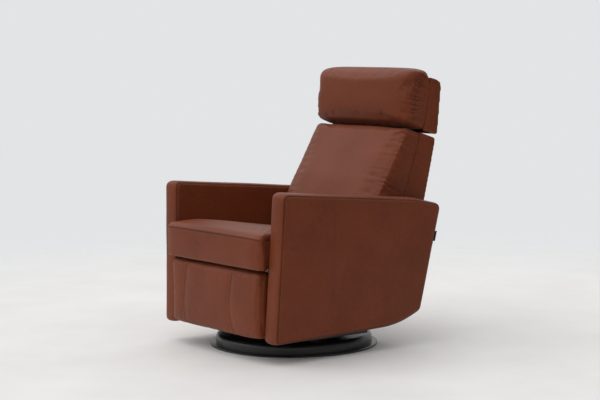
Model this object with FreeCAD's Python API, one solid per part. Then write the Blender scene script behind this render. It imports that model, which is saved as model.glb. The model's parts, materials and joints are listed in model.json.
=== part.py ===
"""Swivel recliner with a round disc base: upholstered arms, sliding seat, folding footrest,
reclining back and tilting headrest. Millimetres. X is to the side, -Y is forward, Z is up.
The origin is on the floor, on the swivel axis."""
import FreeCAD, Part
import math
import os
from FreeCAD import Vector

# Fits and sheet sizes
RUN = 0.05            # radial running clearance of a pin or shaft in its hole
SOFT = 0.3            # clearance between upholstery and what carries it
STEEL = 4.0           # thickness of links and brackets
LAYER_GAP = 3.0       # washer gap between two links
PIN_R = 4.0
PIN_HEAD_R = 7.0
PIN_HEAD = 2.2
WASHER_R = 8.0
LINK_R = 9.0          # half the width of a link

# Disc base
DISC_R = 336.0
DISC_THICKNESS = 8.0
FELT_R = 328.0
FELT_WIDTH = 10.0
FELT_DEPTH = 2.0
DOME_R = 314.0
DOME_HEIGHT = 48.0
DOME_CROWN = 6.0
DOME_SHOULDER = 20.0
DOME_SHEET = 2.0
DOME_HOLE_R = 44.0
POST_R = 38.0
POST_TOP = 58.0
POST_FLANGE_R = 70.0
BUSH_R = 26.0
BUSH_FLANGE = 2.0
STUD_R = 20.0
STUD_BOTTOM = 12.0

# Turntable and base rails
TURN_PLATE = 300.0
TURN_PLATE_THICKNESS = 4.0
CHANNEL_HEIGHT = 26.0
CHANNEL_WIDTH = 30.0
CHANNEL_WALL = 3.0
CHANNEL_Y = 100.0
RAIL_OUTER = 296.0
RAIL_WIDTH = 28.0
RAIL_BOTTOM = 64.0
RAIL_TOP = 96.0
RAIL_WALL = 3.0
RAIL_FRONT = -150.0
RAIL_REAR = 140.0
TUBE_R = 12.0
TUBE_WALL = 2.0
TUBE_Y = 105.0
TUBE_Z = 200.0

# Arms: outline in the side view, then a turn outwards at the top
ARM_INNER = 297.0
ARM_THICKNESS = 83.0
ARM_SPLAY = 2.5
ARM_FRONT_BOTTOM = (-367.0, 88.0)
ARM_FRONT_TOP = (-344.0, 648.0)
ARM_REAR_TOP = (438.0, 580.0)
ARM_REAR_BOTTOM = (345.0, 148.5)
ARM_CURVE_START = (240.0, 100.0)
ARM_EDGE_R = 11.0
ARM_REAR_TOP_R = 55.0
ARM_REAR_BOTTOM_R = 25.0
ARM_CURVE_R = 430.0
ARM_SOFT_EDGE = 8.0
ARM_PADDING = 16.0
ARM_BOARD = 24.0
ARM_WINDOW_R = 40.0
BRACKET_TOP = 190.0
BOLT_R = 4.0
BOLT_HEAD_R = 8.0
BOLT_HEAD = 4.0
BOLT_DEPTH = 40.0

# Seat slide
SLIDE_TRAVEL = 70.0
SIDE_PLATE_X = 276.0
SIDE_PLATE_TOP = 335.0
TRACK_BOTTOM = 301.0
TRACK_HEIGHT = 28.0
TRACK_WALL = 3.0
TRACK_FRONT = -250.0
TRACK_REAR = 125.0
GLIDE_LENGTH = 70.0
GLIDE_FRONT = -100.0
GLIDE_REAR = 80.0
SEAT_RAIL_X = 252.0
SEAT_RAIL_FRONT = -333.0
SEAT_RAIL_REAR = 212.0
SEAT_RAIL_BOTTOM = 272.0
SEAT_RAIL_TOP = 345.0
SEAT_RAIL_FLANGE = 32.0

# Seat frame and cushion
FRAME_HALF = 284.0
FRAME_WOOD = 30.0
FRAME_RAIL = 40.0
FRAME_FRONT = -336.0
FRAME_REAR = 147.0
STRAP = 1.5
STRAP_WIDTH = 50.0
SEAT_HALF = 305.0
SEAT_FRONT = -404.0
SEAT_REAR = 107.0
SEAT_SEAM_Z = 474.0
SEAT_LIP_Z = 362.0
SEAT_LIP_REAR = -340.0
SEAT_CROWN = 24.0
SEAT_CROWN_Y = -150.0
SEAT_SIDE_DRAW = 5.0
LEAST_CROWN = 2.0     # crown of a cushion at its very ends

# Footrest linkage in the side view: forward distance and height of each pivot
LOWER_PIVOT = (250.0, 290.0)
SWING_LENGTH = 190.3  # of the lower link, and of the tie link as far as its cross pin
SWING_FOLDED = -108.1
UPPER_LENGTH = 194.5
UPPER_ANGLE = 46.4    # the upper link keeps this slope while the footrest moves
CROSS_PIN_AT = 55.0
TIE_TAIL = 60.0
OPEN_PLAY = 0.1       # radial play of the two pivots that close the linkage
CROSS_TUBE_AT = 85.0

# Footrest board and pad
FOOT_FRONT = -394.0
FOOT_BACK = -340.0
FOOT_BOARD = 14.0
FOOT_BOTTOM = 92.0
FOOT_TOP = 348.0
FOOT_HALF = 293.0
FOOT_CROWN = 6.0
FOOT_DRAW = 5.0
FOOT_BOARD_MARGIN = 12.0
FOOT_BRACKET_TOP = 285.0
FOOT_BRACKET_BOTTOM = 170.0
FOOT_BRACKET_WIDTH = 26.0

# Back: outline in the side view
BACK_HALF = 295.0
BACK_PIVOT = (185.0, 352.0)
BACK_EAR_R = 12.0
BACK_BOTTOM = 372.0
BACK_SEAM_BOTTOM = (258.0, BACK_BOTTOM)
BACK_SEAM_TOP = (424.0, 842.0)
BACK_REAR_BOTTOM = (393.0, BACK_BOTTOM)
BACK_REAR_TOP = (503.0, 818.0)
BACK_FRONT_TOP = (350.0, 856.0)
BACK_FRONT_SEAT = (118.0, 470.0)
BACK_FRONT_BOTTOM = (152.0, BACK_BOTTOM)
BACK_CROWN = 16.0
BACK_BULGE_Z = 660.0
BACK_SOFTEN = 8.0
BACK_WALL = 16.0
BACK_POST_X = 233.0
BACK_POST_WIDTH = 26.0
BACK_POST_DEPTH = 38.0
BACK_POST_TOP = 812.0
BACK_RAIL_HEIGHT = 44.0
BACK_BRACKET_TOP = 500.0
SKIRT_BOTTOM = 150.0
SKIRT_THICKNESS = 14.0
SKIRT_HALF = 290.0

# Headrest
HEAD_PIVOT = (400.0, 893.0)
HEAD_SEAM_BOTTOM = (437.0, 850.0)
HEAD_SEAM_TOP = (475.0, 1062.0)
HEAD_REAR_BOTTOM = (511.0, 829.0)
HEAD_REAR_TOP = (534.0, 1046.0)
HEAD_FRONT_BOTTOM = (343.0, 868.0)
HEAD_FRONT_TOP = (349.0, 1097.0)
HEAD_REAR_CROWN = (470.0, 1096.0)
HEAD_WALL = 16.0
HEAD_BOARD = 12.0
HEAD_BOARD_BOTTOM = 915.0
HEAD_BOARD_TOP = 1035.0
HEAD_BOARD_HALF = BACK_HALF - HEAD_WALL - SOFT
HINGE_X = 150.0
HINGE_R = 11.0
HINGE_SLOT = 8.0

LOFT_STATIONS = (-1.0, -0.97, -0.9, -0.75, -0.5, -0.2, 0.2, 0.5, 0.75, 0.9, 0.97, 1.0)
LINK_X = [SEAT_RAIL_X - (STEEL + LAYER_GAP) * layer for layer in range(4)]


# Drawing helpers

def side_wire(corners, x=0.0):
    """A closed outline in the plane at x, through (y, z, radius) corners rounded by tangent arcs."""
    edges = []
    ends = []
    count = len(corners)
    for i in range(count):
        before = corners[i - 1]
        here = corners[i]
        after = corners[(i + 1) % count]
        to_before = Vector(0, before[0] - here[0], before[1] - here[1]).normalize()
        to_after = Vector(0, after[0] - here[0], after[1] - here[1]).normalize()
        corner = Vector(x, here[0], here[1])
        half = to_before.getAngle(to_after) / 2
        reach = here[2] / math.tan(half)
        bisector = (to_before + to_after).normalize()
        middle = corner + bisector * (here[2] / math.sin(half) - here[2])
        start = corner + to_before * reach
        end = corner + to_after * reach
        ends.append((start, middle, end))
    for i in range(count):
        start, middle, end = ends[i]
        edges.append(Part.Arc(start, middle, end).toShape())
        edges.append(Part.LineSegment(end, ends[(i + 1) % count][0]).toShape())
    return Part.Wire(edges)


def prism(corners, x0, x1):
    """The outline of (y, z, radius) corners, extruded from x0 to x1."""
    return Part.Face(side_wire(corners, x0)).extrude(Vector(x1 - x0, 0, 0))


def sharp(points, radius=1.0):
    """Points with one small corner radius."""
    return [(y, z, radius) for y, z in points]


def box(x0, x1, y0, y1, z0, z1):
    return Part.makeBox(x1 - x0, y1 - y0, z1 - z0, Vector(x0, y0, z0))


def rod(x0, x1, y, z, radius):
    return Part.makeCylinder(radius, x1 - x0, Vector(x0, y, z), Vector(1, 0, 0))


def fuse(shapes):
    joined = shapes[0]
    for shape in shapes[1:]:
        joined = joined.fuse(shape)
    return joined.removeSplitter()


def cut(shape, tools):
    for tool in tools:
        shape = shape.cut(tool)
    return shape


def mirrored(shape):
    return shape.mirror(Vector(0, 0, 0), Vector(1, 0, 0))


def pair(shape):
    """The shape and its mirror image, as two separate solids."""
    return Part.makeCompound([shape, mirrored(shape)])


def link(points, x0, radius=LINK_R, holes=(), thickness=STEEL):
    """A flat bar with round ends through (y, z) points, with holes at (y, z, radius)."""
    pieces = []
    for (ya, za), (yb, zb) in zip(points, points[1:]):
        along = Vector(0, yb - ya, zb - za)
        side = Vector(0, along.z, -along.y).normalize() * radius
        a = Vector(x0, ya, za)
        b = Vector(x0, yb, zb)
        bar = Part.Face(Part.makePolygon([a + side, b + side, b - side, a - side, a + side]))
        pieces.append(bar.extrude(Vector(thickness, 0, 0)))
    for y, z in points:
        pieces.append(rod(x0, x0 + thickness, y, z, radius))
    bar = fuse(pieces)
    return cut(bar, [rod(x0 - 1, x0 + thickness + 1, y, z, r) for y, z, r in holes])


def rivet(y, z, inner, outer):
    """A shouldered pin through two links, whose outer faces are at x = inner and x = outer."""
    shank = rod(inner - PIN_HEAD, outer + PIN_HEAD, y, z, PIN_R)
    washer = rod(inner + STEEL + RUN, outer - STEEL - RUN, y, z, WASHER_R)
    inner_head = rod(inner - PIN_HEAD, inner - RUN, y, z, PIN_HEAD_R)
    outer_head = rod(outer + RUN, outer + PIN_HEAD, y, z, PIN_HEAD_R)
    return fuse([shank, washer, inner_head, outer_head])


def loft(half_width, section):
    """A soft solid through rounded outlines: section(share) gives the corners at a share of the half width."""
    wires = [side_wire(section(abs(share)), half_width * share) for share in LOFT_STATIONS]
    return Part.makeLoft(wires, True, False)


def at(pivot, length, angle):
    """The point at a length and angle from a pivot, as forward distance and height."""
    turn = math.radians(angle)
    return (pivot[0] + length * math.cos(turn), pivot[1] + length * math.sin(turn))


def yz(point):
    """Forward distance and height as y and z."""
    return (-point[0], point[1])


def on_line(a, b, z):
    """The y of the line from a to b at height z."""
    return a[0] + (b[0] - a[0]) * (z - a[1]) / (b[1] - a[1])


def revolved(points):
    """A solid turned about Z from (radius, z) points."""
    wire = Part.makePolygon([Vector(r, 0, z) for r, z in points + points[:1]])
    return Part.Face(wire).revolve(Vector(0, 0, 0), Vector(0, 0, 1), 360)


# Disc base

def base_plate():
    plate = Part.makeCylinder(DISC_R, DISC_THICKNESS)
    rim = [edge for edge in plate.Edges if edge.BoundBox.ZMin > DISC_THICKNESS - 0.1]
    plate = plate.makeFillet(DISC_THICKNESS / 2, rim[:1])
    return plate.cut(felt_ring())


def felt_ring():
    outer = Part.makeCylinder(FELT_R, FELT_DEPTH)
    return outer.cut(Part.makeCylinder(FELT_R - FELT_WIDTH, FELT_DEPTH))


def dome_skin(radius, height, crown, shoulder, hole):
    """The space under a pressed dome: an upright wall, a round shoulder and a crowned top."""
    crown_at = height + crown
    bottom = DISC_THICKNESS
    wall = Part.LineSegment(Vector(radius, 0, bottom), Vector(radius, 0, height - shoulder)).toShape()
    slant = math.radians(45)
    bend_at = Vector(radius - shoulder * (1 - math.cos(slant)), 0, height - shoulder * (1 - math.sin(slant)))
    bend_end = Vector(radius - shoulder, 0, height)
    bend = Part.Arc(Vector(radius, 0, height - shoulder), bend_at, bend_end).toShape()
    half_way = Vector((radius - shoulder + hole) / 2, 0, height + crown * 0.75)
    top = Part.Arc(bend_end, half_way, Vector(hole, 0, crown_at)).toShape()
    inside = Part.LineSegment(Vector(hole, 0, crown_at), Vector(hole, 0, bottom)).toShape()
    floor = Part.LineSegment(Vector(hole, 0, bottom), Vector(radius, 0, bottom)).toShape()
    face = Part.Face(Part.Wire([wall, bend, top, inside, floor]))
    return face.revolve(Vector(0, 0, 0), Vector(0, 0, 1), 360)


def base_dome():
    outer = dome_skin(DOME_R, DOME_HEIGHT, DOME_CROWN, DOME_SHOULDER, DOME_HOLE_R)
    inner = dome_skin(DOME_R - DOME_SHEET, DOME_HEIGHT - DOME_SHEET, DOME_CROWN,
                      DOME_SHOULDER - DOME_SHEET, DOME_HOLE_R - 1)
    return outer.cut(inner)


def centre_post():
    post = Part.makeCylinder(POST_R, POST_TOP - DISC_THICKNESS, Vector(0, 0, DISC_THICKNESS))
    flange = Part.makeCylinder(POST_FLANGE_R, DISC_THICKNESS, Vector(0, 0, DISC_THICKNESS))
    seat = Part.makeCylinder(BUSH_R, POST_TOP, Vector(0, 0, DISC_THICKNESS))
    return fuse([post, flange]).cut(seat)


def post_bush():
    return revolved([(STUD_R + RUN, STUD_BOTTOM), (BUSH_R, STUD_BOTTOM), (BUSH_R, POST_TOP),
                     (POST_R, POST_TOP), (POST_R, POST_TOP + BUSH_FLANGE),
                     (STUD_R + RUN, POST_TOP + BUSH_FLANGE)])


# Turntable

TURN_BOTTOM = POST_TOP + BUSH_FLANGE + RUN
CHANNEL_BOTTOM = TURN_BOTTOM + TURN_PLATE_THICKNESS


def swivel_plate():
    half = TURN_PLATE / 2
    plate = box(-half, half, -half, half, TURN_BOTTOM, CHANNEL_BOTTOM)
    corners = [edge for edge in plate.Edges if edge.BoundBox.ZLength > TURN_PLATE_THICKNESS / 2]
    return plate.makeFillet(POST_R, corners)


def swivel_stud():
    return Part.makeCylinder(STUD_R, TURN_BOTTOM - STUD_BOTTOM, Vector(0, 0, STUD_BOTTOM))


def cross_channel(y):
    """A steel channel under the seat, open below, that joins the two base rails."""
    half = RAIL_OUTER - RAIL_WIDTH
    side = CHANNEL_WIDTH / 2
    top = CHANNEL_BOTTOM + CHANNEL_HEIGHT
    outer = box(-half, half, y - side, y + side, CHANNEL_BOTTOM, top)
    inner = box(-half - 1, half + 1, y - side + CHANNEL_WALL, y + side - CHANNEL_WALL,
                CHANNEL_BOTTOM - 1, top - CHANNEL_WALL)
    return outer.cut(inner)


def base_rail():
    """The right-hand rail: a steel tube with an upright flange that leans with the arm."""
    outer = box(RAIL_OUTER - RAIL_WIDTH, RAIL_OUTER, RAIL_FRONT, RAIL_REAR, RAIL_BOTTOM, RAIL_TOP)
    inner = box(RAIL_OUTER - RAIL_WIDTH + RAIL_WALL, RAIL_OUTER - RAIL_WALL, RAIL_FRONT - 1,
                RAIL_REAR + 1, RAIL_BOTTOM + RAIL_WALL, RAIL_TOP - RAIL_WALL)
    flange = splayed(prism(sharp([(RAIL_FRONT, RAIL_TOP - 6), (RAIL_REAR, RAIL_TOP - 6),
                                  (RAIL_REAR - 20, BRACKET_TOP), (RAIL_FRONT + 20, BRACKET_TOP)], 3.0),
                           ARM_INNER - STEEL, ARM_INNER))
    flange = flange.cut(box(0, 2 * RAIL_OUTER, RAIL_FRONT - 1, RAIL_REAR + 1, 0, RAIL_TOP))
    holes = [splayed(arm_bolt_hole(y, z)) for y, z in arm_bolt_places()]
    return cut(fuse([outer.cut(inner), flange]), holes)


def rear_tube():
    tube = rod(-SIDE_PLATE_X, SIDE_PLATE_X, TUBE_Y, TUBE_Z, TUBE_R)
    return tube.cut(rod(-SIDE_PLATE_X, SIDE_PLATE_X, TUBE_Y, TUBE_Z, TUBE_R - TUBE_WALL))


def side_plate():
    """The right-hand mechanism plate: it stands on the base rail and carries the seat's track."""
    foot = 20.0
    outline = [(RAIL_FRONT + foot, RAIL_TOP, 2.0), (RAIL_REAR - foot, RAIL_TOP, 2.0),
               (TRACK_REAR, SIDE_PLATE_TOP - 60, 20.0), (TRACK_REAR, SIDE_PLATE_TOP, 6.0),
               (TRACK_FRONT, SIDE_PLATE_TOP, 6.0), (TRACK_FRONT, SIDE_PLATE_TOP - 40, 12.0)]
    plate = prism(outline, SIDE_PLATE_X, SIDE_PLATE_X + STEEL)
    windows = [rod(SIDE_PLATE_X - 1, SIDE_PLATE_X + STEEL + 1, y, z, r)
               for y, z, r in ((-75, 150, 30), (10, 150, 30), (-20, 235, 35), (-125, 245, 26))]
    top = TRACK_BOTTOM + TRACK_HEIGHT
    channel = box(SEAT_RAIL_X + STEEL + 6, SIDE_PLATE_X, TRACK_FRONT, TRACK_REAR, TRACK_BOTTOM, top)
    groove = box(SEAT_RAIL_X, SIDE_PLATE_X - TRACK_WALL, TRACK_FRONT - 1, TRACK_REAR + 1,
                 TRACK_BOTTOM + TRACK_WALL, top - TRACK_WALL)
    return fuse([cut(plate, windows), channel.cut(groove)])


# Arms

def arm_corners():
    return [ARM_FRONT_BOTTOM + (ARM_EDGE_R,), ARM_CURVE_START + (ARM_CURVE_R,),
            ARM_REAR_BOTTOM + (ARM_REAR_BOTTOM_R,), ARM_REAR_TOP + (ARM_REAR_TOP_R,),
            ARM_FRONT_TOP + (ARM_EDGE_R,)]


def inset(corners, distances):
    """The outline with each side moved inwards: side i runs from corner i to corner i + 1."""
    moved = []
    count = len(corners)
    lines = []
    for i in range(count):
        a = corners[i]
        b = corners[(i + 1) % count]
        length = math.hypot(b[0] - a[0], b[1] - a[1])
        direction = ((b[0] - a[0]) / length, (b[1] - a[1]) / length)
        normal = (-direction[1], direction[0])
        lines.append(((a[0] + normal[0] * distances[i], a[1] + normal[1] * distances[i]), direction))
    for i in range(count):
        (px, py), (dx, dy) = lines[i - 1]
        (qx, qy), (ex, ey) = lines[i]
        along = ((qx - px) * ey - (qy - py) * ex) / (dx * ey - dy * ex)
        moved.append((px + dx * along, py + dy * along, max(corners[i][2] - distances[i], 2.0)))
    return moved


def splayed(shape):
    """Lean the right-hand arm outwards about its lower inner edge."""
    turned = shape.copy()
    turned.rotate(Vector(ARM_INNER, 0, ARM_FRONT_BOTTOM[1]), Vector(0, 1, 0), ARM_SPLAY)
    return turned


def arm_board_solid():
    """The plywood board in the middle of the arm, flush with the arm's underside."""
    middle = ARM_INNER + ARM_THICKNESS / 2
    corners = inset(arm_corners(), [0.0] + [ARM_PADDING] * 4)
    return prism(corners, middle - ARM_BOARD / 2, middle + ARM_BOARD / 2)


def arm_bolt_places():
    return [(y, z) for y in (RAIL_FRONT + 40, RAIL_REAR - 40) for z in (RAIL_TOP + 34, BRACKET_TOP - 20)]


def arm_bolt_hole(y, z):
    return rod(ARM_INNER - STEEL - BOLT_HEAD - 1, ARM_INNER + BOLT_DEPTH, y, z, BOLT_R)


def arm_bolt(y, z):
    shank = rod(ARM_INNER - STEEL, ARM_INNER + BOLT_DEPTH, y, z, BOLT_R)
    head = rod(ARM_INNER - STEEL - BOLT_HEAD, ARM_INNER - STEEL, y, z, BOLT_HEAD_R)
    return shank.fuse(head).removeSplitter()


def arm_frame():
    middle = ARM_INNER + ARM_THICKNESS / 2
    windows = [rod(middle - ARM_BOARD, middle + ARM_BOARD, y, z, ARM_WINDOW_R)
               for y, z in ((-250, 480), (-80, 400), (90, 400), (260, 480), (-250, 260), (250, 270))]
    holes = [arm_bolt_hole(y, z) for y, z in arm_bolt_places()]
    return splayed(cut(arm_board_solid(), windows + holes))


def arm_pad():
    body = prism(arm_corners(), ARM_INNER, ARM_INNER + ARM_THICKNESS)
    sides = (ARM_INNER, ARM_INNER + ARM_THICKNESS)
    rims = [edge for edge in body.Edges
            if edge.BoundBox.XLength < 0.01 and min(abs(edge.BoundBox.XMin - x) for x in sides) < 0.01]
    body = body.makeFillet(ARM_SOFT_EDGE, rims)
    holes = [arm_bolt_hole(y, z) for y, z in arm_bolt_places()]
    return splayed(cut(body, [arm_board_solid()] + holes))


def arm_bolts():
    bolts = [splayed(arm_bolt(y, z)) for y, z in arm_bolt_places()]
    return Part.makeCompound(bolts + [mirrored(bolt) for bolt in bolts])


# Seat

def seat_rail():
    """The right-hand seat rail: a web with the link pivots and the back's ear, and a top flange."""
    ear_y, ear_z = BACK_PIVOT
    web = prism([(SEAT_RAIL_FRONT, SEAT_RAIL_BOTTOM + 40, 8.0), (-200, SEAT_RAIL_BOTTOM, 20.0),
                 (SEAT_RAIL_REAR - 40, SEAT_RAIL_BOTTOM, 20.0), (SEAT_RAIL_REAR, SEAT_RAIL_TOP - 20, 8.0),
                 (SEAT_RAIL_REAR, SEAT_RAIL_TOP, 3.0), (SEAT_RAIL_FRONT, SEAT_RAIL_TOP, 3.0)],
                SEAT_RAIL_X, SEAT_RAIL_X + STEEL)
    flange = box(SEAT_RAIL_X, SEAT_RAIL_X + SEAT_RAIL_FLANGE, FRAME_FRONT + 4, FRAME_REAR,
                 SEAT_RAIL_TOP - STEEL, SEAT_RAIL_TOP)
    ear = rod(SEAT_RAIL_X, SEAT_RAIL_X + STEEL, ear_y, ear_z, BACK_EAR_R)
    pivots = [yz(LOWER_PIVOT), yz(TIE_PIVOT), BACK_PIVOT]
    return cut(fuse([web, flange, ear]), [rod(SEAT_RAIL_X - 1, SEAT_RAIL_X + STEEL + 1, y, z, PIN_R)
                                          for y, z in pivots])


def glide_blocks():
    """Nylon blocks on the seat rails that run in the tracks."""
    bottom = TRACK_BOTTOM + TRACK_WALL + SOFT
    top = TRACK_BOTTOM + TRACK_HEIGHT - TRACK_WALL - SOFT
    blocks = [box(SEAT_RAIL_X + STEEL, SIDE_PLATE_X - TRACK_WALL - SOFT, y - GLIDE_LENGTH / 2,
                  y + GLIDE_LENGTH / 2, bottom, top) for y in (GLIDE_FRONT, GLIDE_REAR)]
    return Part.makeCompound(blocks + [mirrored(block) for block in blocks])


def seat_frame_cross(y):
    return box(-FRAME_HALF, FRAME_HALF, y, y + FRAME_RAIL, SEAT_RAIL_TOP, SEAT_RAIL_TOP + FRAME_WOOD)


def seat_frame_side():
    return box(FRAME_HALF - FRAME_RAIL, FRAME_HALF, FRAME_FRONT + FRAME_RAIL, FRAME_REAR - FRAME_RAIL,
               SEAT_RAIL_TOP, SEAT_RAIL_TOP + FRAME_WOOD)


def seat_straps():
    """Elastic straps across the seat frame, from side rail to side rail."""
    half = FRAME_HALF - 8
    z = SEAT_RAIL_TOP + FRAME_WOOD
    first = FRAME_FRONT + FRAME_RAIL + STRAP_WIDTH / 2
    last = FRAME_REAR - FRAME_RAIL - STRAP_WIDTH / 2
    count = int((last - first) / (STRAP_WIDTH * 1.5)) + 1
    pitch = (last - first) / (count - 1)
    return Part.makeCompound([box(-half, half, first + pitch * i - STRAP_WIDTH / 2,
                                  first + pitch * i + STRAP_WIDTH / 2, z, z + STRAP)
                              for i in range(count)])


def seat_cushion():
    """A boxed cushion with a crowned top, drawn-in sides and a lip over the frame's front."""
    deck = SEAT_RAIL_TOP + FRAME_WOOD + STRAP + SOFT

    def section(share):
        crown = LEAST_CROWN + SEAT_CROWN * (1 - share ** 2)
        draw = SEAT_SIDE_DRAW * share ** 12
        return [(SEAT_FRONT + draw, deck, 4.0), (SEAT_REAR - draw, deck, 10.0),
                (SEAT_REAR - draw, SEAT_SEAM_Z + crown * 0.4, 24.0),
                (SEAT_CROWN_Y, SEAT_SEAM_Z + crown * 1.5, 600.0),
                (SEAT_FRONT + draw, SEAT_SEAM_Z, 16.0)]

    lip_corners = [(SEAT_FRONT + 2, SEAT_LIP_Z, 10.0), (SEAT_LIP_REAR, SEAT_LIP_Z, 4.0),
                   (SEAT_LIP_REAR, deck + 8, 2.0), (SEAT_FRONT + 2, deck + 8, 2.0)]
    lip = prism(lip_corners, 4 - SEAT_HALF, SEAT_HALF - 4)
    return loft(SEAT_HALF, section).fuse(lip).removeSplitter()


# Footrest linkage, folded

TIE_PIVOT = at(LOWER_PIVOT, CROSS_PIN_AT, UPPER_ANGLE)
KNEE = at(LOWER_PIVOT, SWING_LENGTH, SWING_FOLDED)
BOARD_PIVOT = at(KNEE, UPPER_LENGTH, UPPER_ANGLE)
CROSS_PIN = at(KNEE, CROSS_PIN_AT, UPPER_ANGLE)
TIE_END = at(CROSS_PIN, TIE_TAIL, SWING_FOLDED)
BOARD_LOWER_PIVOT = at(BOARD_PIVOT, TIE_TAIL, SWING_FOLDED)


def lower_links():
    pivot = yz(LOWER_PIVOT)
    knee = yz(KNEE)
    tube = yz(at(LOWER_PIVOT, CROSS_TUBE_AT, SWING_FOLDED))
    bar = link([pivot, knee], LINK_X[1], holes=[pivot + (PIN_R + RUN,), knee + (PIN_R,)])
    eye = rod(LINK_X[1], LINK_X[1] + STEEL, tube[0], tube[1], TUBE_R)
    return pair(fuse([bar, eye]))


def link_cross_tube():
    y, z = yz(at(LOWER_PIVOT, CROSS_TUBE_AT, SWING_FOLDED))
    half = LINK_X[1]
    return rod(-half, half, y, z, TUBE_R - 2).cut(rod(-half, half, y, z, TUBE_R - 2 - TUBE_WALL))


def upper_links():
    knee = yz(KNEE)
    end = yz(BOARD_PIVOT)
    cross = yz(CROSS_PIN)
    return pair(link([knee, end], LINK_X[2],
                     holes=[knee + (PIN_R + RUN,), end + (PIN_R + RUN,), cross + (PIN_R + OPEN_PLAY,)]))


def tie_links():
    pivot = yz(TIE_PIVOT)
    cross = yz(CROSS_PIN)
    end = yz(TIE_END)
    return pair(link([pivot, end], LINK_X[1],
                     holes=[pivot + (PIN_R + RUN,), cross + (PIN_R,), end + (PIN_R,)]))


def board_links():
    """The links from the tie links' ends to the footrest, parallel to the upper links."""
    start = yz(TIE_END)
    end = yz(BOARD_LOWER_PIVOT)
    return pair(link([start, end], LINK_X[2],
                     holes=[start + (PIN_R + RUN,), end + (PIN_R + OPEN_PLAY,)]))


def pins(places):
    """Shouldered pins: places are (pivot, inner link layer, outer link layer)."""
    made = []
    for (y, z), inner, outer in places:
        made.append(rivet(y, z, inner, outer + STEEL))
    return Part.makeCompound(made + [mirrored(pin) for pin in made])


# Footrest

def footrest_board():
    edge = FOOT_BOARD_MARGIN
    board = box(-FOOT_HALF + edge, FOOT_HALF - edge, FOOT_BACK - FOOT_BOARD, FOOT_BACK,
                FOOT_BOTTOM + edge, FOOT_TOP - edge)
    upright = [e for e in board.Edges if e.BoundBox.YLength > FOOT_BOARD / 2]
    return board.makeFillet(18.0, upright)


def footrest_pad():
    """The padded front of the footrest: softly crowned, wrapped round the board's edges."""

    def section(share):
        front = FOOT_FRONT + FOOT_CROWN * share ** 4
        draw = FOOT_DRAW * share ** 12
        return [(front, FOOT_BOTTOM + draw, 16.0), (FOOT_BACK - 2, FOOT_BOTTOM + draw, 6.0),
                (FOOT_BACK - 2, FOOT_TOP - draw, 6.0), (front, FOOT_TOP - draw, 16.0)]

    edge = FOOT_BOARD_MARGIN - SOFT
    pocket = box(-FOOT_HALF + edge, FOOT_HALF - edge, FOOT_BACK - FOOT_BOARD - SOFT, FOOT_BACK + 1,
                 FOOT_BOTTOM + edge, FOOT_TOP - edge)
    return loft(FOOT_HALF, section).cut(pocket)


def footrest_brackets():
    """Angle brackets on the back of the board, with the two link pivots."""
    x = LINK_X[3]
    edge = LINK_R + 3
    upper = yz(BOARD_PIVOT)
    lower = yz(BOARD_LOWER_PIVOT)
    web = prism([(FOOT_BACK, FOOT_BRACKET_BOTTOM, 2.0), (lower[0] + edge, FOOT_BRACKET_BOTTOM + 6, 8.0),
                 (lower[0] + edge, lower[1] + edge, 8.0), (upper[0] + edge, upper[1] + edge, 8.0),
                 (FOOT_BACK, FOOT_BRACKET_TOP, 2.0)], x, x + STEEL)
    flange = box(x + STEEL - FOOT_BRACKET_WIDTH, x + STEEL, FOOT_BACK, FOOT_BACK + STEEL,
                 FOOT_BRACKET_BOTTOM, FOOT_BRACKET_TOP)
    holes = [rod(x - 1, x + STEEL + 1, y, z, PIN_R) for y, z in (upper, lower)]
    return pair(cut(fuse([web, flange]), holes))


# Back

def seam_y(z):
    """The y of the seam plane between the back's cushion and its shell, at height z."""
    return on_line(BACK_SEAM_BOTTOM, BACK_SEAM_TOP, z)


def back_band(front, rear, z0, z1, x0, x1):
    """A piece of the back frame that follows the seam plane, between two depths behind it."""
    points = [(seam_y(z0) + front, z0), (seam_y(z0) + rear, z0), (seam_y(z1) + rear, z1),
              (seam_y(z1) + front, z1)]
    return prism(sharp(points, radius=STRAP / 4), x0, x1)


BACK_FRAME_FRONT = STRAP
BACK_FRAME_REAR = BACK_FRAME_FRONT + BACK_POST_DEPTH


def back_post():
    return back_band(BACK_FRAME_FRONT, BACK_FRAME_REAR, BACK_BOTTOM + 2, BACK_POST_TOP,
                     BACK_POST_X, BACK_POST_X + BACK_POST_WIDTH)


def back_rail(z):
    return back_band(BACK_FRAME_FRONT, BACK_FRAME_REAR, z, z + BACK_RAIL_HEIGHT,
                     -BACK_POST_X, BACK_POST_X)


def back_straps():
    straps = []
    half = BACK_POST_X + BACK_POST_WIDTH
    for z in range(450, 760, 75):
        straps.append(back_band(0.0, STRAP, z, z + STRAP_WIDTH, -half, half))
    return Part.makeCompound(straps)


def back_shell():
    """The upholstered outer back: rear wall, sides and top round the frame, open to the front."""
    corners = [BACK_SEAM_BOTTOM + (2.0,), BACK_REAR_BOTTOM + (2.0,), BACK_REAR_TOP + (16.0,),
               BACK_SEAM_TOP + (2.0,)]
    outer = prism(corners, -BACK_HALF, BACK_HALF)
    hollow = inset(corners, [-10.0, BACK_WALL, BACK_WALL, -10.0])
    shell = outer.cut(prism(hollow, BACK_WALL - BACK_HALF, BACK_HALF - BACK_WALL))
    slots = [box(HINGE_X - HINGE_SLOT, HINGE_X + HINGE_SLOT, BACK_SEAM_TOP[0] - 40,
                 BACK_SEAM_TOP[0] + 32, BACK_POST_TOP, BACK_SEAM_TOP[1] + 20)]
    return cut(shell, slots + [mirrored(slot) for slot in slots])


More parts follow.
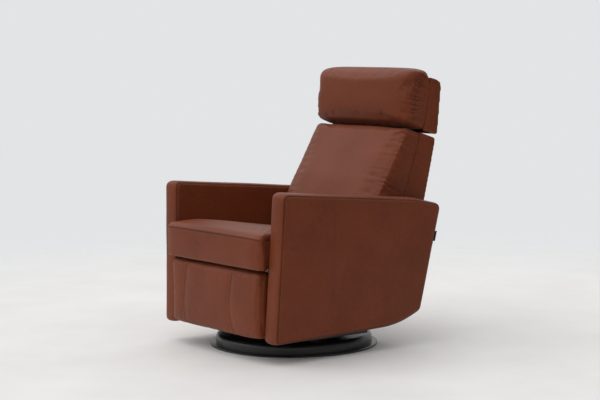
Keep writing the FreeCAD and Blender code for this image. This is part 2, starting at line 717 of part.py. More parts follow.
def back_cushion():
    """The tall back cushion: its front bulges from the side seams, its top front edge is round."""
    rear = -SOFT

    def section(share):
        crown = LEAST_CROWN + BACK_CROWN * (1 - share ** 3)
        soften = BACK_SOFTEN * share ** 12

        def bulged(point, part):
            return (point[0] - crown * part + soften, point[1])
        return [(BACK_SEAM_BOTTOM[0] + rear, BACK_BOTTOM, 6.0), (BACK_SEAM_TOP[0] + rear, BACK_SEAM_TOP[1], 4.0),
                (BACK_FRONT_TOP[0], BACK_FRONT_TOP[1] - soften, 36.0),
                bulged((on_line(BACK_FRONT_SEAT, BACK_FRONT_TOP, BACK_BULGE_Z), BACK_BULGE_Z), 1.0) + (500.0,),
                bulged(BACK_FRONT_SEAT, 0.3) + (36.0,),
                (BACK_FRONT_BOTTOM[0] + soften, BACK_BOTTOM, 12.0)]

    return loft(BACK_HALF, section)


def back_skirt():
    """The lower rear panel, in line with the back's rear face."""
    def rear(z):
        return on_line(BACK_REAR_BOTTOM, BACK_REAR_TOP, z)
    points = [(rear(SKIRT_BOTTOM) - SKIRT_THICKNESS, SKIRT_BOTTOM), (rear(SKIRT_BOTTOM), SKIRT_BOTTOM),
              (rear(BACK_BOTTOM) - 1, BACK_BOTTOM), (rear(BACK_BOTTOM) - 1 - SKIRT_THICKNESS, BACK_BOTTOM)]
    return prism(sharp(points), -SKIRT_HALF, SKIRT_HALF)


def back_brackets():
    """Steel arms from the back posts down to the pivots on the seat rails."""
    x = BACK_POST_X + BACK_POST_WIDTH
    heel = (seam_y(BACK_BOTTOM) + BACK_EAR_R + 5, BACK_PIVOT[1])
    top = (seam_y(BACK_BRACKET_TOP) + BACK_POST_DEPTH / 2, BACK_BRACKET_TOP)
    return pair(link([BACK_PIVOT, heel, top], x, radius=BACK_EAR_R, holes=[BACK_PIVOT + (PIN_R + RUN,)]))


# Headrest

def head_seam_y(z):
    return on_line(HEAD_SEAM_BOTTOM, HEAD_SEAM_TOP, z)


def hinge_leaves():
    """The fixed leaves of the headrest hinges, on the back's top rail."""
    foot_z = BACK_POST_TOP - BACK_RAIL_HEIGHT + 10
    neck_z = BACK_SEAM_TOP[1] + 4
    foot = (seam_y(foot_z) + BACK_FRAME_FRONT + 14, foot_z)
    neck = (seam_y(neck_z) + HINGE_R + 2, neck_z)
    leaf = link([foot, neck, HEAD_PIVOT], HINGE_X - STEEL - 1, radius=HINGE_R, holes=[HEAD_PIVOT + (PIN_R,)])
    return pair(leaf)


def headrest_arms():
    """The moving leaves, from the pivots to the back of the headrest board."""
    behind = HEAD_BOARD + HINGE_R + SOFT
    low = (head_seam_y(HEAD_BOARD_BOTTOM) + behind, HEAD_BOARD_BOTTOM - 15)
    high = (head_seam_y(990) + behind, 990)
    middle = (head_seam_y(HEAD_BOARD_BOTTOM + 5) + behind, HEAD_BOARD_BOTTOM + 5)
    return pair(link([HEAD_PIVOT, low, middle, high], HINGE_X + 1, radius=HINGE_R,
                     holes=[HEAD_PIVOT + (PIN_R + RUN,)]))


def headrest_board():
    def band(z, depth):
        return (head_seam_y(z) + depth, z)
    points = [band(HEAD_BOARD_BOTTOM, 0.0), band(HEAD_BOARD_BOTTOM, HEAD_BOARD),
              band(HEAD_BOARD_TOP, HEAD_BOARD), band(HEAD_BOARD_TOP, 0.0)]
    return prism(sharp(points), -HEAD_BOARD_HALF, HEAD_BOARD_HALF)


def headrest_pins():
    pin = rod(HINGE_X - STEEL - 3, HINGE_X + STEEL + 3, HEAD_PIVOT[0], HEAD_PIVOT[1], PIN_R)
    return pair(pin)


def headrest_shell():
    """The upholstered rear of the headrest: rear wall, sides and top, open below and in front."""
    corners = [HEAD_SEAM_BOTTOM + (2.0,), HEAD_REAR_BOTTOM + (10.0,), HEAD_REAR_TOP + (34.0,),
               HEAD_SEAM_TOP + (2.0,)]
    outer = prism(corners, -BACK_HALF, BACK_HALF)
    hollow = inset(corners, [-12.0, HEAD_WALL, HEAD_WALL, -12.0])
    return outer.cut(prism(hollow, HEAD_WALL - BACK_HALF, BACK_HALF - HEAD_WALL))


def headrest_cushion():
    """The headrest pillow: a bulging front with large round edges and drawn-in ends."""
    def section(share):
        end = share ** 10
        low = HEAD_SEAM_BOTTOM[1] + 4 * end
        high = HEAD_SEAM_TOP[1] - 6 * end
        return [(head_seam_y(low) - SOFT, low, 5.0), (head_seam_y(high) - SOFT, high, 3.0),
                (HEAD_REAR_CROWN[0] - 6 * end, HEAD_REAR_CROWN[1] - 14 * end, 24.0),
                (HEAD_FRONT_TOP[0] + 34 * end, HEAD_FRONT_TOP[1] - 18 * end, 46.0),
                (HEAD_FRONT_BOTTOM[0] + 30 * end, HEAD_FRONT_BOTTOM[1] + 8 * end, 30.0)]

    pillow = loft(BACK_HALF, section)
    slot = box(HINGE_X - HINGE_SLOT, HINGE_X + HINGE_SLOT, HEAD_PIVOT[0] - HINGE_R - 6,
               HEAD_SEAM_TOP[0], HEAD_FRONT_BOTTOM[1] - 30, HEAD_PIVOT[1] + HINGE_R + 10)
    return cut(pillow, [slot, mirrored(slot)])


def build():
    rail = base_rail()
    plate = side_plate()
    frame = arm_frame()
    pad = arm_pad()
    seat = seat_rail()
    side = seat_frame_side()
    post = back_post()
    back_eye = BACK_PIVOT
    rail_pins = pins([(yz(LOWER_PIVOT), LINK_X[1], LINK_X[0]), (yz(TIE_PIVOT), LINK_X[1], LINK_X[0])])
    return {
        "base_plate": base_plate(),
        "felt_ring": felt_ring(),
        "base_dome": base_dome(),
        "centre_post": centre_post(),
        "post_bush": post_bush(),
        "swivel_plate": swivel_plate(),
        "swivel_stud": swivel_stud(),
        "cross_channel_front": cross_channel(-CHANNEL_Y),
        "cross_channel_rear": cross_channel(CHANNEL_Y),
        "base_rail_right": rail,
        "base_rail_left": mirrored(rail),
        "side_plate_right": plate,
        "side_plate_left": mirrored(plate),
        "rear_cross_tube": rear_tube(),
        "arm_frame_right": frame,
        "arm_frame_left": mirrored(frame),
        "arm_pad_right": pad,
        "arm_pad_left": mirrored(pad),
        "arm_bolts": arm_bolts(),
        "seat_rail_right": seat,
        "seat_rail_left": mirrored(seat),
        "glide_blocks": glide_blocks(),
        "seat_frame_front": seat_frame_cross(FRAME_FRONT),
        "seat_frame_rear": seat_frame_cross(FRAME_REAR - FRAME_RAIL),
        "seat_frame_right": side,
        "seat_frame_left": mirrored(side),
        "seat_straps": seat_straps(),
        "seat_cushion": seat_cushion(),
        "rail_pins": rail_pins,
        "back_pins": pins([(back_eye, LINK_X[0], BACK_POST_X + BACK_POST_WIDTH)]),
        "lower_links": lower_links(),
        "link_cross_tube": link_cross_tube(),
        "knee_pins": pins([(yz(KNEE), LINK_X[2], LINK_X[1])]),
        "upper_links": upper_links(),
        "tie_links": tie_links(),
        "tie_pins": pins([(yz(CROSS_PIN), LINK_X[2], LINK_X[1]), (yz(TIE_END), LINK_X[2], LINK_X[1])]),
        "board_links": board_links(),
        "footrest_board": footrest_board(),
        "footrest_brackets": footrest_brackets(),
        "footrest_pad": footrest_pad(),
        "footrest_pins": pins([(yz(BOARD_PIVOT), LINK_X[3], LINK_X[2]),
                               (yz(BOARD_LOWER_PIVOT), LINK_X[3], LINK_X[2])]),
        "back_post_right": post,
        "back_post_left": mirrored(post),
        "back_top_rail": back_rail(BACK_POST_TOP - BACK_RAIL_HEIGHT).cut(hinge_leaves()),
        "back_bottom_rail": back_rail(BACK_BOTTOM + 12),
        "back_straps": back_straps(),
        "back_shell": back_shell(),
        "back_cushion": back_cushion(),
        "back_skirt": back_skirt(),
        "back_brackets": back_brackets(),
        "hinge_leaves": hinge_leaves(),
        "headrest_arms": headrest_arms(),
        "headrest_board": headrest_board(),
        "headrest_pins": headrest_pins(),
        "headrest_shell": headrest_shell(),
        "headrest_cushion": headrest_cushion(),
    }


os.makedirs("parts", exist_ok=True)
for name, shape in build().items():
    shape.exportStep("parts/" + name + ".step")
    print(name, "solids", len(shape.Solids), "valid", shape.isValid(), "litres", round(shape.Volume / 1e6, 3))
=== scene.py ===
"""Looks of a swivel recliner in brown leather: padded arms, seat, back, headrest and footrest
on a round black disc base. Metres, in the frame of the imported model."""
import json
import math

import bpy
import numpy as np
from mathutils import Matrix, Vector
from mathutils.bvhtree import BVHTree


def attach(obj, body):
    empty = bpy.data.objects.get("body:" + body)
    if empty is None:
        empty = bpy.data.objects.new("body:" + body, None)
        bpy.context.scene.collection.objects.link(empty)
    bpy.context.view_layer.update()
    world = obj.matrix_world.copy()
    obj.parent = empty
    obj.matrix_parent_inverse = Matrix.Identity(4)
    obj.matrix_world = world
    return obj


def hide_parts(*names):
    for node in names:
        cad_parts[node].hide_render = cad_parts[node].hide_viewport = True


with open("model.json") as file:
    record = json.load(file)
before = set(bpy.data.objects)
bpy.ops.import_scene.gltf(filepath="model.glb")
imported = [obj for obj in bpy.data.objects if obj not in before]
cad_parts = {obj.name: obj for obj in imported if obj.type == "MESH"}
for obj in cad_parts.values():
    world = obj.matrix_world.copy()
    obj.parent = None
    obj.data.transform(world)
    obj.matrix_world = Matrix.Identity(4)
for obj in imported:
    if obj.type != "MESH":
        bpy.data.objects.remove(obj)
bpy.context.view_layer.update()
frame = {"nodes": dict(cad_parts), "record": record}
MM = 0.001

# All sizes below are in millimetres. A corner is (forward-back, height, corner radius), and the
# corners of an outline run anticlockwise seen from +X. STEPS gives the mesh steps along each side.

# Arms
ARM_INNER = 297.0
ARM_THICKNESS = 83.0
ARM_SPLAY = 2.5  # degrees
ARM_CORNERS = [(-367.0, 88.0, 13.0), (240.0, 100.0, 430.0), (345.0, 148.5, 25.0),
               (434.0, 561.0, 22.0), (300.0, 592.0, 200.0), (-344.0, 648.0, 22.0)]
ARM_STEPS = [90, 20, 70, 24, 110, 90]
ARM_EDGE = 14.0
ARM_CROWN = 6.0
ARM_PUFF = 2.5
ARM_SEAM_RISE = 0.8
ARM_PANEL_SEAM_Y = -106.0

# Tag in an arm's rear seam
TAG_HEIGHTS = (419.0, 459.0)
TAG_REARS = (398.0, 407.0)
TAG_ROOT = 5.0
TAG_REACH = 19.0
TAG_INSET = 6.0
TAG_WALL = 1.2
TAG_GRID = (9, 13)

# Seat cushion
SEAT_HALF = 305.0
SEAT_FRONT = -404.0
SEAT_REAR = 107.0
SEAT_DECK = 377.0
SEAT_LIP = 356.0
SEAT_SEAM_Z = 474.0
SEAT_SEAM_DROP = 6.0
SEAT_SHOULDER = (-330.0, 502.0)
SEAT_REAR_TOP = 438.0
SEAT_CROWN = 8.0
SEAT_END_DROP = 6.0
SEAT_EAR = 321.0
SEAT_CORNER = (62.0, 17.0)
SEAT_EDGE = 16.0
SEAT_STEPS = [70, 16, 60, 12, 20]
SEAT_SQUEEZE_Y = -378.0
SEAT_SQUEEZE_LENGTH = 18.0
SEAT_LIFT_Y = -350.0
SEAT_LIFT_LENGTH = 12.0

# Back
BACK_HALF = 295.0
BACK_BOTTOM = 372.0
BACK_SEAM_LOW = (258.0, 372.0)
BACK_SEAM_HIGH = (424.0, 842.0)
BACK_EDGE_LOW = (393.0, 372.0)
BACK_EDGE_HIGH = (503.0, 818.0)
BACK_TOP_FRONT = (349.0, 872.0)
BACK_FRONT_SEAT = (118.0, 470.0)
BACK_FRONT_LOW = (152.0, 372.0)
BACK_BULGE_Z = 660.0
BACK_EDGE = 27.0
BACK_STEPS = [80, 14, 30, 30, 18, 16]
BACK_FRONT_SEAM = [(158.0, 500.0), (208.0, 616.0), (255.0, 686.0), (305.0, 764.0), (345.0, 828.0),
                   (366.0, 862.0)]
SKIRT_SEAM = (338.0, 166.0)
SKIRT_HALF = 270.0

# Headrest
HEAD_SEAM_LOW = (437.0, 850.0)
HEAD_SEAM_HIGH = (475.0, 1062.0)
HEAD_EDGE_LOW = (511.0, 829.0)
HEAD_EDGE_HIGH = (534.0, 1046.0)
HEAD_CROWN = (470.0, 1096.0)
HEAD_FRONT_HIGH = (349.0, 1097.0)
HEAD_FRONT_LOW = (343.0, 884.0)
HEAD_BULGE_Z = 965.0
HEAD_EDGE = 23.0
HEAD_STEPS = [40, 10, 24, 18, 18, 20]
HEAD_FRONT_SEAM = [(438.0, 1082.0), (412.0, 1035.0), (391.0, 989.0), (383.0, 940.0), (380.0, 886.0)]

# Footrest
FOOT_HALF = 296.0
FOOT_FRONT = -394.0
FOOT_BACK = -340.0
FOOT_LOW = 92.0
FOOT_HIGH = 348.0
FOOT_EDGE = 9.0
FOOT_STEPS = [12, 44, 12, 44]
FOOT_LEFT_SEAM = [(-181, 337), (-196, 260), (-206, 186), (-203, 140), (-198, 104)]
FOOT_RIGHT_SEAM = [(132, 335), (118, 280), (110, 225), (116, 160), (136, 100)]

# Skins: voxels, arcs and the share of the end ring at each ring of an end face
COVER_VOXEL = 6.0
SHELL_VOXEL = 5.0
ARC_STEPS = 8
EDGE_STEPS = 8
END_SHARES = np.array([0.96, 0.9, 0.82, 0.7, 0.55, 0.4, 0.25, 0.1])

# Seams and stitches
SEAM_DEPTH = 1.5
SEAM_WIDTH = 2.4
SEAM_LIP = 0.7
SEAM_REACH = 90.0
SIDE_SEAM_INSET = 0.5
STITCH_LENGTH = 5.0
STITCH_PITCH = 7.5
STITCH_OFFSET = 5.0
STITCH_MISS = 12.0
THREAD = 0.55
THREAD_SIDES = 6
THREAD_RINGS = 5

# Cloth that swells the covers
SWELL_FRAMES = 20
SWELL_PRESSURE = 4.0
SWELL_STIFFNESS = 15.0

# Camera, in degrees, metres and pixels of the 600 x 400 frame
CAMERA_AZIMUTH = 52.514
CAMERA_PITCH = 5.522
CAMERA_ROLL = -0.322
CAMERA_DISTANCE = 6.566574
CAMERA_RIGHT = 0.027978
CAMERA_HEIGHT = 0.576026
FOCAL_PIXELS = 1640.07
FRAME_PIXELS = 600
SENSOR = 36.0


# Surfaces

def unit(v):
    """The vectors at length one."""
    return v / np.linalg.norm(v, axis=-1, keepdims=True)


def rounded(corners, steps):
    """Points round a closed outline: at each (y, z, radius) corner the tangent arc, centre plus
    the blend of its two end radii by sines, and then the straight side to the next corner in
    equal steps."""
    c = np.array(corners, float)
    p = c[:, :2]
    before = unit(np.roll(p, 1, 0) - p)
    after = unit(np.roll(p, -1, 0) - p)
    half = np.arccos(np.clip((before * after).sum(1), -1, 1)) / 2
    reach = (c[:, 2] / np.tan(half))[:, None]
    centre = p + unit(before + after) * (c[:, 2] / np.sin(half))[:, None]
    start = p + before * reach
    end = p + after * reach
    turn = (np.pi - 2 * half)[:, None, None]
    share = np.linspace(0, 1, ARC_STEPS + 1)[None, :, None]
    arcs = (centre[:, None] + (start - centre)[:, None] * np.sin((1 - share) * turn) / np.sin(turn)
            + (end - centre)[:, None] * np.sin(share * turn) / np.sin(turn))
    points = []
    for arc, here, there, count in zip(arcs, end, np.roll(start, -1, 0), steps):
        inner = np.linspace(0, 1, count + 1)[1:-1, None]
        points += [arc, here * (1 - inner) + there * inner]
    return np.concatenate(points)


def moved_in(corners, distance, still=()):
    """The outline with its sides moved inwards by the distance, save for those that stand still,
    and its radii cut by it. Each new corner is where two neighbouring moved sides meet."""
    c = np.array(corners, float)
    p = c[:, :2]
    way = unit(np.roll(p, -1, 0) - p)
    by = np.full((len(c), 1), distance)
    by[list(still)] = 0.0
    on = p + np.stack([-way[:, 1], way[:, 0]], 1) * by
    on_before = np.roll(on, 1, 0)
    way_before = np.roll(way, 1, 0)
    gap = on - on_before
    cross = way_before[:, 0] * way[:, 1] - way_before[:, 1] * way[:, 0]
    reach = (gap[:, 0] * way[:, 1] - gap[:, 1] * way[:, 0]) / cross
    met = on_before + way_before * reach[:, None]
    radius = np.maximum(c[:, 2] - np.maximum(distance, 0.0), 1.0)
    return np.concatenate([met, radius[:, None]], 1)


def linked(name, points, faces):
    """A piece from millimetre points and faces, linked to the scene."""
    mesh = bpy.data.meshes.new(name)
    mesh.from_pydata((points * MM).tolist(), [], faces)
    mesh.update()
    piece = bpy.data.objects.new(name, mesh)
    bpy.context.scene.collection.objects.link(piece)
    return piece


def ring_quads(turns, count):
    """Quads between neighbouring closed rings of count points."""
    t, s = np.meshgrid(np.arange(turns - 1), np.arange(count), indexing="ij")
    here = t * count + s
    beside = t * count + (s + 1) % count
    return np.stack([here, beside, beside + count, here + count], -1).reshape(-1, 4).tolist()


def grid_piece(name, rings):
    """A closed piece through rings of (x, y, z) millimetre points that run anticlockwise seen from
    +X and follow each other towards +X. The end rings close on their middle points."""
    turns, count = rings.shape[:2]
    points = np.concatenate([rings.reshape(-1, 3), [rings[0].mean(0), rings[-1].mean(0)]])
    here = np.arange(count)
    beside = (here + 1) % count
    middle = turns * count
    last = (turns - 1) * count
    faces = ring_quads(turns, count)
    faces += np.stack([np.full(count, middle), beside, here], 1).tolist()
    faces += np.stack([np.full(count, middle + 1), last + here, last + beside], 1).tolist()
    return linked(name, points, faces)


def end_face(ring, outwards):
    """Rings inside an end ring, drawn to its middle by END_SHARES, which stand out along x by
    outwards (1 - share^2)."""
    centre = ring.mean(0)
    rings = centre + (ring - centre) * END_SHARES[:, None, None]
    rings[:, :, 0] += outwards * (1 - END_SHARES ** 2)[:, None]
    return rings


def soft_block(name, low, high, corners_at, steps, edge, spans, puff=0.0, still=()):
    """A closed skin from x = low to x = high. Each ring is the rounded outline that corners_at gives
    for its share of the half width. In the last stretch of length edge at both ends, for an angle
    from 0 to 90 degrees, x goes on by edge sin and the outline's sides, save for the still ones,
    move in by edge (1 - cos). The end faces swell by puff."""
    middle = (low + high) / 2
    half = (high - low) / 2
    angle = np.linspace(0, np.pi / 2, EDGE_STEPS + 1)[1:]
    ends = half - edge + edge * np.sin(angle)
    drawn = edge * (1 - np.cos(angle))
    body = np.linspace(-1, 1, spans + 1) * (half - edge)
    xs = np.concatenate([-ends[::-1], body, ends])
    insets = np.concatenate([drawn[::-1], np.zeros(len(body)), drawn])
    rings = []
    for x, inset in zip(xs, insets):
        outline = rounded(moved_in(corners_at(abs(x) / half), inset, still), steps)
        rings.append(np.column_stack([np.full(len(outline), x + middle), outline]))
    first = end_face(rings[0], -puff)[::-1]
    last = end_face(rings[-1], puff)
    return grid_piece(name, np.concatenate([first, np.array(rings), last]))


# Reading and writing meshes as arrays

def coordinates(mesh):
    """All vertex positions, as rows."""
    co = np.empty(len(mesh.vertices) * 3, np.float32)
    mesh.vertices.foreach_get("co", co)
    return co.reshape(-1, 3).astype(float)


def normals(mesh):
    """All vertex normals, as rows."""
    no = np.empty(len(mesh.vertices) * 3, np.float32)
    mesh.vertex_normals.foreach_get("vector", no)
    return no.reshape(-1, 3).astype(float)


def place(mesh, co):
    """Puts the rows back as vertex positions."""
    mesh.vertices.foreach_set("co", co.astype(np.float32).ravel())
    mesh.update()


def applied(piece):
    """The piece with its modifiers made part of the mesh."""
    bpy.context.view_layer.update()
    graph = bpy.context.evaluated_depsgraph_get()
    mesh = bpy.data.meshes.new_from_object(piece.evaluated_get(graph))
    old = piece.data
    piece.modifiers.clear()
    piece.data = mesh
    bpy.data.meshes.remove(old)
    return piece


def remeshed(piece, size):
    """The skin made anew from even quads of the size."""
    modifier = piece.modifiers.new("voxels", "REMESH")
    modifier.mode = "VOXEL"
    modifier.voxel_size = size * MM
    return applied(piece)


def evened(piece, times):
    """Each vertex drawn half way to its neighbours' middle, some times over."""
    modifier = piece.modifiers.new("even", "SMOOTH")
    modifier.factor = 0.5
    modifier.iterations = times
    return applied(piece)


def halved(piece):
    """Each face split into four by one level of subdivision."""
    modifier = piece.modifiers.new("finer", "SUBSURF")
    modifier.levels = 1
    modifier.render_levels = 1
    return applied(piece)


def dense(points, step=2.5, closed=False):
    """A polyline's points filled in every few millimetres, by linear steps along its length."""
    p = np.array(points, float)
    if closed:
        p = np.concatenate([p, p[:1]])
    length = np.concatenate([[0], np.cumsum(np.linalg.norm(np.diff(p, axis=0), axis=1))])
    at = np.linspace(0, length[-1], max(2, int(length[-1] / step)))
    return np.column_stack([np.interp(at, length, p[:, i]) for i in range(3)])


def near(co, curve):
    """For each point, its distance in millimetres to the nearest point of the curve and that
    point's index. Points farther than SEAM_REACH outside the curve's box count as far away."""
    best = np.full(len(co), 1e9)
    index = np.zeros(len(co), int)
    low = (curve.min(0) - SEAM_REACH) * MM
    high = (curve.max(0) + SEAM_REACH) * MM
    inside = np.nonzero(((co > low) & (co < high)).all(1))[0]
    points = curve * MM
    squares = (points ** 2).sum(1)
    for part in np.array_split(inside, max(1, len(inside) // 8000)):
        gap = (co[part] ** 2).sum(1)[:, None] + squares - 2 * co[part] @ points.T
        index[part] = gap.argmin(1)
        best[part] = np.sqrt(np.maximum(gap.min(1), 0)) / MM
    return best, index


def inflated(piece, seams, slack, cap, hold, gather=0.0):
    """Cloth pressure on the skin: it starts moved in by slack, holds still along the seams
    and where hold says, swells for SWELL_FRAMES frames, and each point's way is then bent
    by a hyperbolic tangent to stay under the cap."""
    mesh = piece.data
    whole = coordinates(mesh)
    weight = hold(whole / MM)
    for seam in seams:
        distance, _ = near(whole, seam)
        weight = np.maximum(weight, np.clip(1.6 - distance / 7.0, 0, 1))
    start = whole - normals(mesh) * (1 - weight)[:, None] * slack * MM
    place(mesh, start)
    group = piece.vertex_groups.new(name="held")
    for low, high in ((0.8, 1.1), (0.45, 0.8), (0.1, 0.45)):
        chosen = np.nonzero((weight >= low) & (weight < high))[0]
        group.add(chosen.tolist(), min(1.0, (low + high) / 2 + 0.05), "REPLACE")
    cloth = piece.modifiers.new("swell", "CLOTH")
    cloth.settings.quality = 4
    cloth.settings.use_pressure = True
    cloth.settings.uniform_pressure_force = SWELL_PRESSURE
    cloth.settings.tension_stiffness = SWELL_STIFFNESS
    cloth.settings.compression_stiffness = SWELL_STIFFNESS
    cloth.settings.shear_stiffness = SWELL_STIFFNESS / 3
    cloth.settings.bending_stiffness = 2.0
    cloth.settings.shrink_min = -gather
    cloth.settings.vertex_group_mass = "held"
    cloth.settings.effector_weights.gravity = 0
    cloth.collision_settings.use_collision = False
    cloth.collision_settings.use_self_collision = False
    cloth.point_cache.frame_start = 1
    cloth.point_cache.frame_end = SWELL_FRAMES
    scene = bpy.context.scene
    for number in range(1, SWELL_FRAMES + 1):
        scene.frame_set(number)
    graph = bpy.context.evaluated_depsgraph_get()
    end = coordinates(piece.evaluated_get(graph).data)
    piece.modifiers.clear()
    piece.vertex_groups.clear()
    scene.frame_set(1)
    way = end - start
    length = np.linalg.norm(way, axis=1, keepdims=True) + 1e-9
    place(mesh, start + way / length * np.tanh(length / (cap * MM)) * cap * MM)
    return piece


def sewn(piece, seams, depth=SEAM_DEPTH, width=SEAM_WIDTH, shade=1.0):
    """Pulls the skin in along the seams by a bell of the distance, raises the leather a little on
    both sides, and keeps the nearness in the attribute seam, where the material paints shade with some
    dirt."""
    mesh = piece.data
    co = coordinates(mesh)
    no = normals(mesh)
    painted_seam_shade = np.zeros(len(co))
    move = np.zeros(len(co))
    for seam in seams:
        distance, _ = near(co, seam)
        groove = np.exp(-(distance / width) ** 2)
        lip = np.exp(-((distance - 3 * width) / (2 * width)) ** 2)
        move += -depth * groove + SEAM_LIP * lip
        # Painted shade, with some dirt: how dark the material makes the hide near this seam.
        painted_seam_shade = np.maximum(painted_seam_shade, shade * np.exp(-(distance / (width * 1.3)) ** 2))
    place(mesh, co + no * move[:, None] * MM)
    attribute = mesh.attributes.new("seam", "FLOAT", "POINT")
    attribute.data.foreach_set("value", painted_seam_shade.astype(np.float32))
    return piece


def seam_shade(piece, seams, strength):
    """Adds a fainter line of painted shade, with some dirt, along more seams to the attribute seam."""
    mesh = piece.data
    co = coordinates(mesh)
    values = np.empty(len(co), np.float32)
    mesh.attributes["seam"].data.foreach_get("value", values)
    for seam in seams:
        distance, _ = near(co, seam)
        values = np.maximum(values, strength * np.exp(-(distance / (SEAM_WIDTH * 1.2)) ** 2))
    mesh.attributes["seam"].data.foreach_set("value", values.astype(np.float32))
    return piece


def pleated(piece, seam, height, reach, pitch, seed):
    """Gathers beside a seam: ridges across it whose spacing and height wander along the seam, and
    that die away with the distance."""
    mesh = piece.data
    co = coordinates(mesh)
    distance, index = near(co, seam)
    random = np.random.default_rng(seed)
    length = np.arange(len(seam)) * np.linalg.norm(seam[1] - seam[0])
    wander = np.interp(length, np.linspace(0, length[-1] + 1, 24), random.normal(0, 0.35, 24))
    strength = np.interp(length, np.linspace(0, length[-1] + 1, 30), random.uniform(0.15, 1.0, 30))
    shift = np.interp(length, np.linspace(0, length[-1] + 1, 18), random.normal(0, 0.5, 18))
    phase = 2 * np.pi * (length / pitch + wander)
    tilt = shift[index] * distance / reach
    ridge = np.sin(phase[index] + tilt * 2.0)
    ridge = ridge * np.abs(ridge) ** 0.3
    fade = np.exp(-(distance / reach) ** 1.5) * (1 - np.exp(-(distance / 3.0) ** 2))
    move = height * strength[index] * ridge * fade
    place(mesh, co + normals(mesh) * move[:, None] * MM)
    return piece


def rumpled(piece, height, size, seed):
    """Broad unevenness of the padding: a sum of fourteen plane waves with random directions and
    phases, whose lengths lie round size."""
    mesh = piece.data
    co = coordinates(mesh)
    random = np.random.default_rng(seed)
    way = unit(random.normal(size=(14, 3)))
    wave = size * MM * random.uniform(0.7, 1.8, 14)
    phase = random.uniform(0, 2 * np.pi, 14)
    total = np.sin(co @ way.T * (2 * np.pi / wave) + phase).sum(1) / math.sqrt(14)
    place(mesh, co + normals(mesh) * (height * MM * total)[:, None])
    return piece


def finished(piece, body, material):
    """Gives the piece its material, smooth shading and body."""
    piece.data.materials.clear()
    piece.data.materials.append(material)
    piece.data.polygons.foreach_set("use_smooth", [True] * len(piece.data.polygons))
    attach(piece, body)
    return piece


def rod_faces(count):
    """Faces of count closed rods that follow each other: quads round each and a face on each end."""
    side = np.arange(THREAD_SIDES)
    last = (THREAD_RINGS - 1) * THREAD_SIDES
    one = ring_quads(THREAD_RINGS, THREAD_SIDES) + [side[::-1].tolist(), (side + last).tolist()]
    size = THREAD_RINGS * THREAD_SIDES
    return [[v + rod * size for v in face] for rod in range(count) for face in one]


def stitches(name, piece, seam, body, outwards):
    """A row of thread dashes that lie on the skin behind a side seam. For u from -1 to 1 along a
    dash, its spine rises by THREAD (0.45 (1 - u^2) + 0.12) and its radius is THREAD (1 - 0.35 u^4)."""
    surface = BVHTree.FromPolygons([v.co for v in piece.data.vertices],
                                   [tuple(p.vertices) for p in piece.data.polygons])
    curve = dense(seam, STITCH_PITCH / 2)
    u = np.linspace(-1, 1, THREAD_RINGS)[:, None, None]
    angle = (np.arange(THREAD_SIDES) * 2 * np.pi / THREAD_SIDES)[None, :, None]
    lift = THREAD * (0.45 * (1 - u * u) + 0.12)
    radius = THREAD * (1.0 - 0.35 * u ** 4)
    rods = []
    for i in range(1, len(curve) - 2, 2):
        ahead = unit(curve[i + 1] - curve[i - 1])
        across = unit(np.cross(ahead, outwards))
        across = across * (1.0 if across[1] > 0 else -1.0)
        wanted = Vector(((curve[i] + across * STITCH_OFFSET) * MM).tolist())
        hit, normal, _, distance = surface.find_nearest(wanted)
        if hit is None or distance > STITCH_MISS * MM:
            continue
        up = np.array(normal)
        ahead = unit(ahead - up * (ahead @ up))
        out = np.cross(ahead, up)
        spine = np.array(hit) / MM + ahead * u * STITCH_LENGTH / 2 + up * lift
        rods.append((spine + radius * (np.cos(angle) * out + np.sin(angle) * up)).reshape(-1, 3))
    row = linked(name, np.concatenate(rods), rod_faces(len(rods)))
    return finished(row, body, thread)


# Materials

def new_material(name):
    """A material with its node tree and its main shader."""
    material = bpy.data.materials.new(name)
    material.use_nodes = True
    tree = material.node_tree
    shader = tree.nodes["Principled BSDF"]
    return material, tree, shader


def node(tree, kind, **values):
    """A new node, with the values set on its inputs, or on the node where it has no such input."""
    made = tree.nodes.new(kind)
    for key, value in values.items():
        if key in made.inputs:
            made.inputs[key].default_value = value
        else:
            setattr(made, key, value)
    return made


def pattern(tree, kind, **values):
    """A node that reads the piece's own Object coordinates."""
    made = node(tree, kind, **values)
    source = tree.nodes.get("Texture Coordinate") or node(tree, "ShaderNodeTexCoord")
    tree.links.new(source.outputs["Object"], made.inputs["Vector"])
    return made


def ramp(tree, factor, stops):
    """The colour that a ramp through the stops gives for the factor."""
    made = tree.nodes.new("ShaderNodeValToRGB")
    elements = made.color_ramp.elements
    for element, (position, value) in zip(elements, stops):
        element.position = position
        element.color = value if len(value) == 4 else (*value, 1)
    tree.links.new(factor, made.inputs["Fac"])
    return made.outputs["Color"]


def feed(tree, value, socket):
    """Links an output to the socket, or sets a constant on it."""
    if isinstance(value, bpy.types.NodeSocket):
        tree.links.new(value, socket)
    else:
        socket.default_value = value


def blend(tree, factor, first, second, mode="MIX"):
    """The colour between first and second by the factor. Each may be an output or a constant."""
    made = node(tree, "ShaderNodeMix", data_type="RGBA", blend_type=mode)
    feed(tree, factor, made.inputs["Factor"])
    feed(tree, first, made.inputs["A"])
    feed(tree, second, made.inputs["B"])
    return made.outputs["Result"]


def bump(tree, height, strength, distance, under=None):
    """The normal of a bump by the height, over the normal of the bump under it."""
    made = node(tree, "ShaderNodeBump", Strength=strength, Distance=distance)
    tree.links.new(height, made.inputs["Height"])
    if under is not None:
        tree.links.new(under, made.inputs["Normal"])
    return made.outputs["Normal"]


def grey(value):
    """An even grey with full alpha."""
    return (value, value, value, 1)


def scaled(colour, factor):
    """A colour made lighter or darker by a factor."""
    return tuple(c * factor for c in colour)


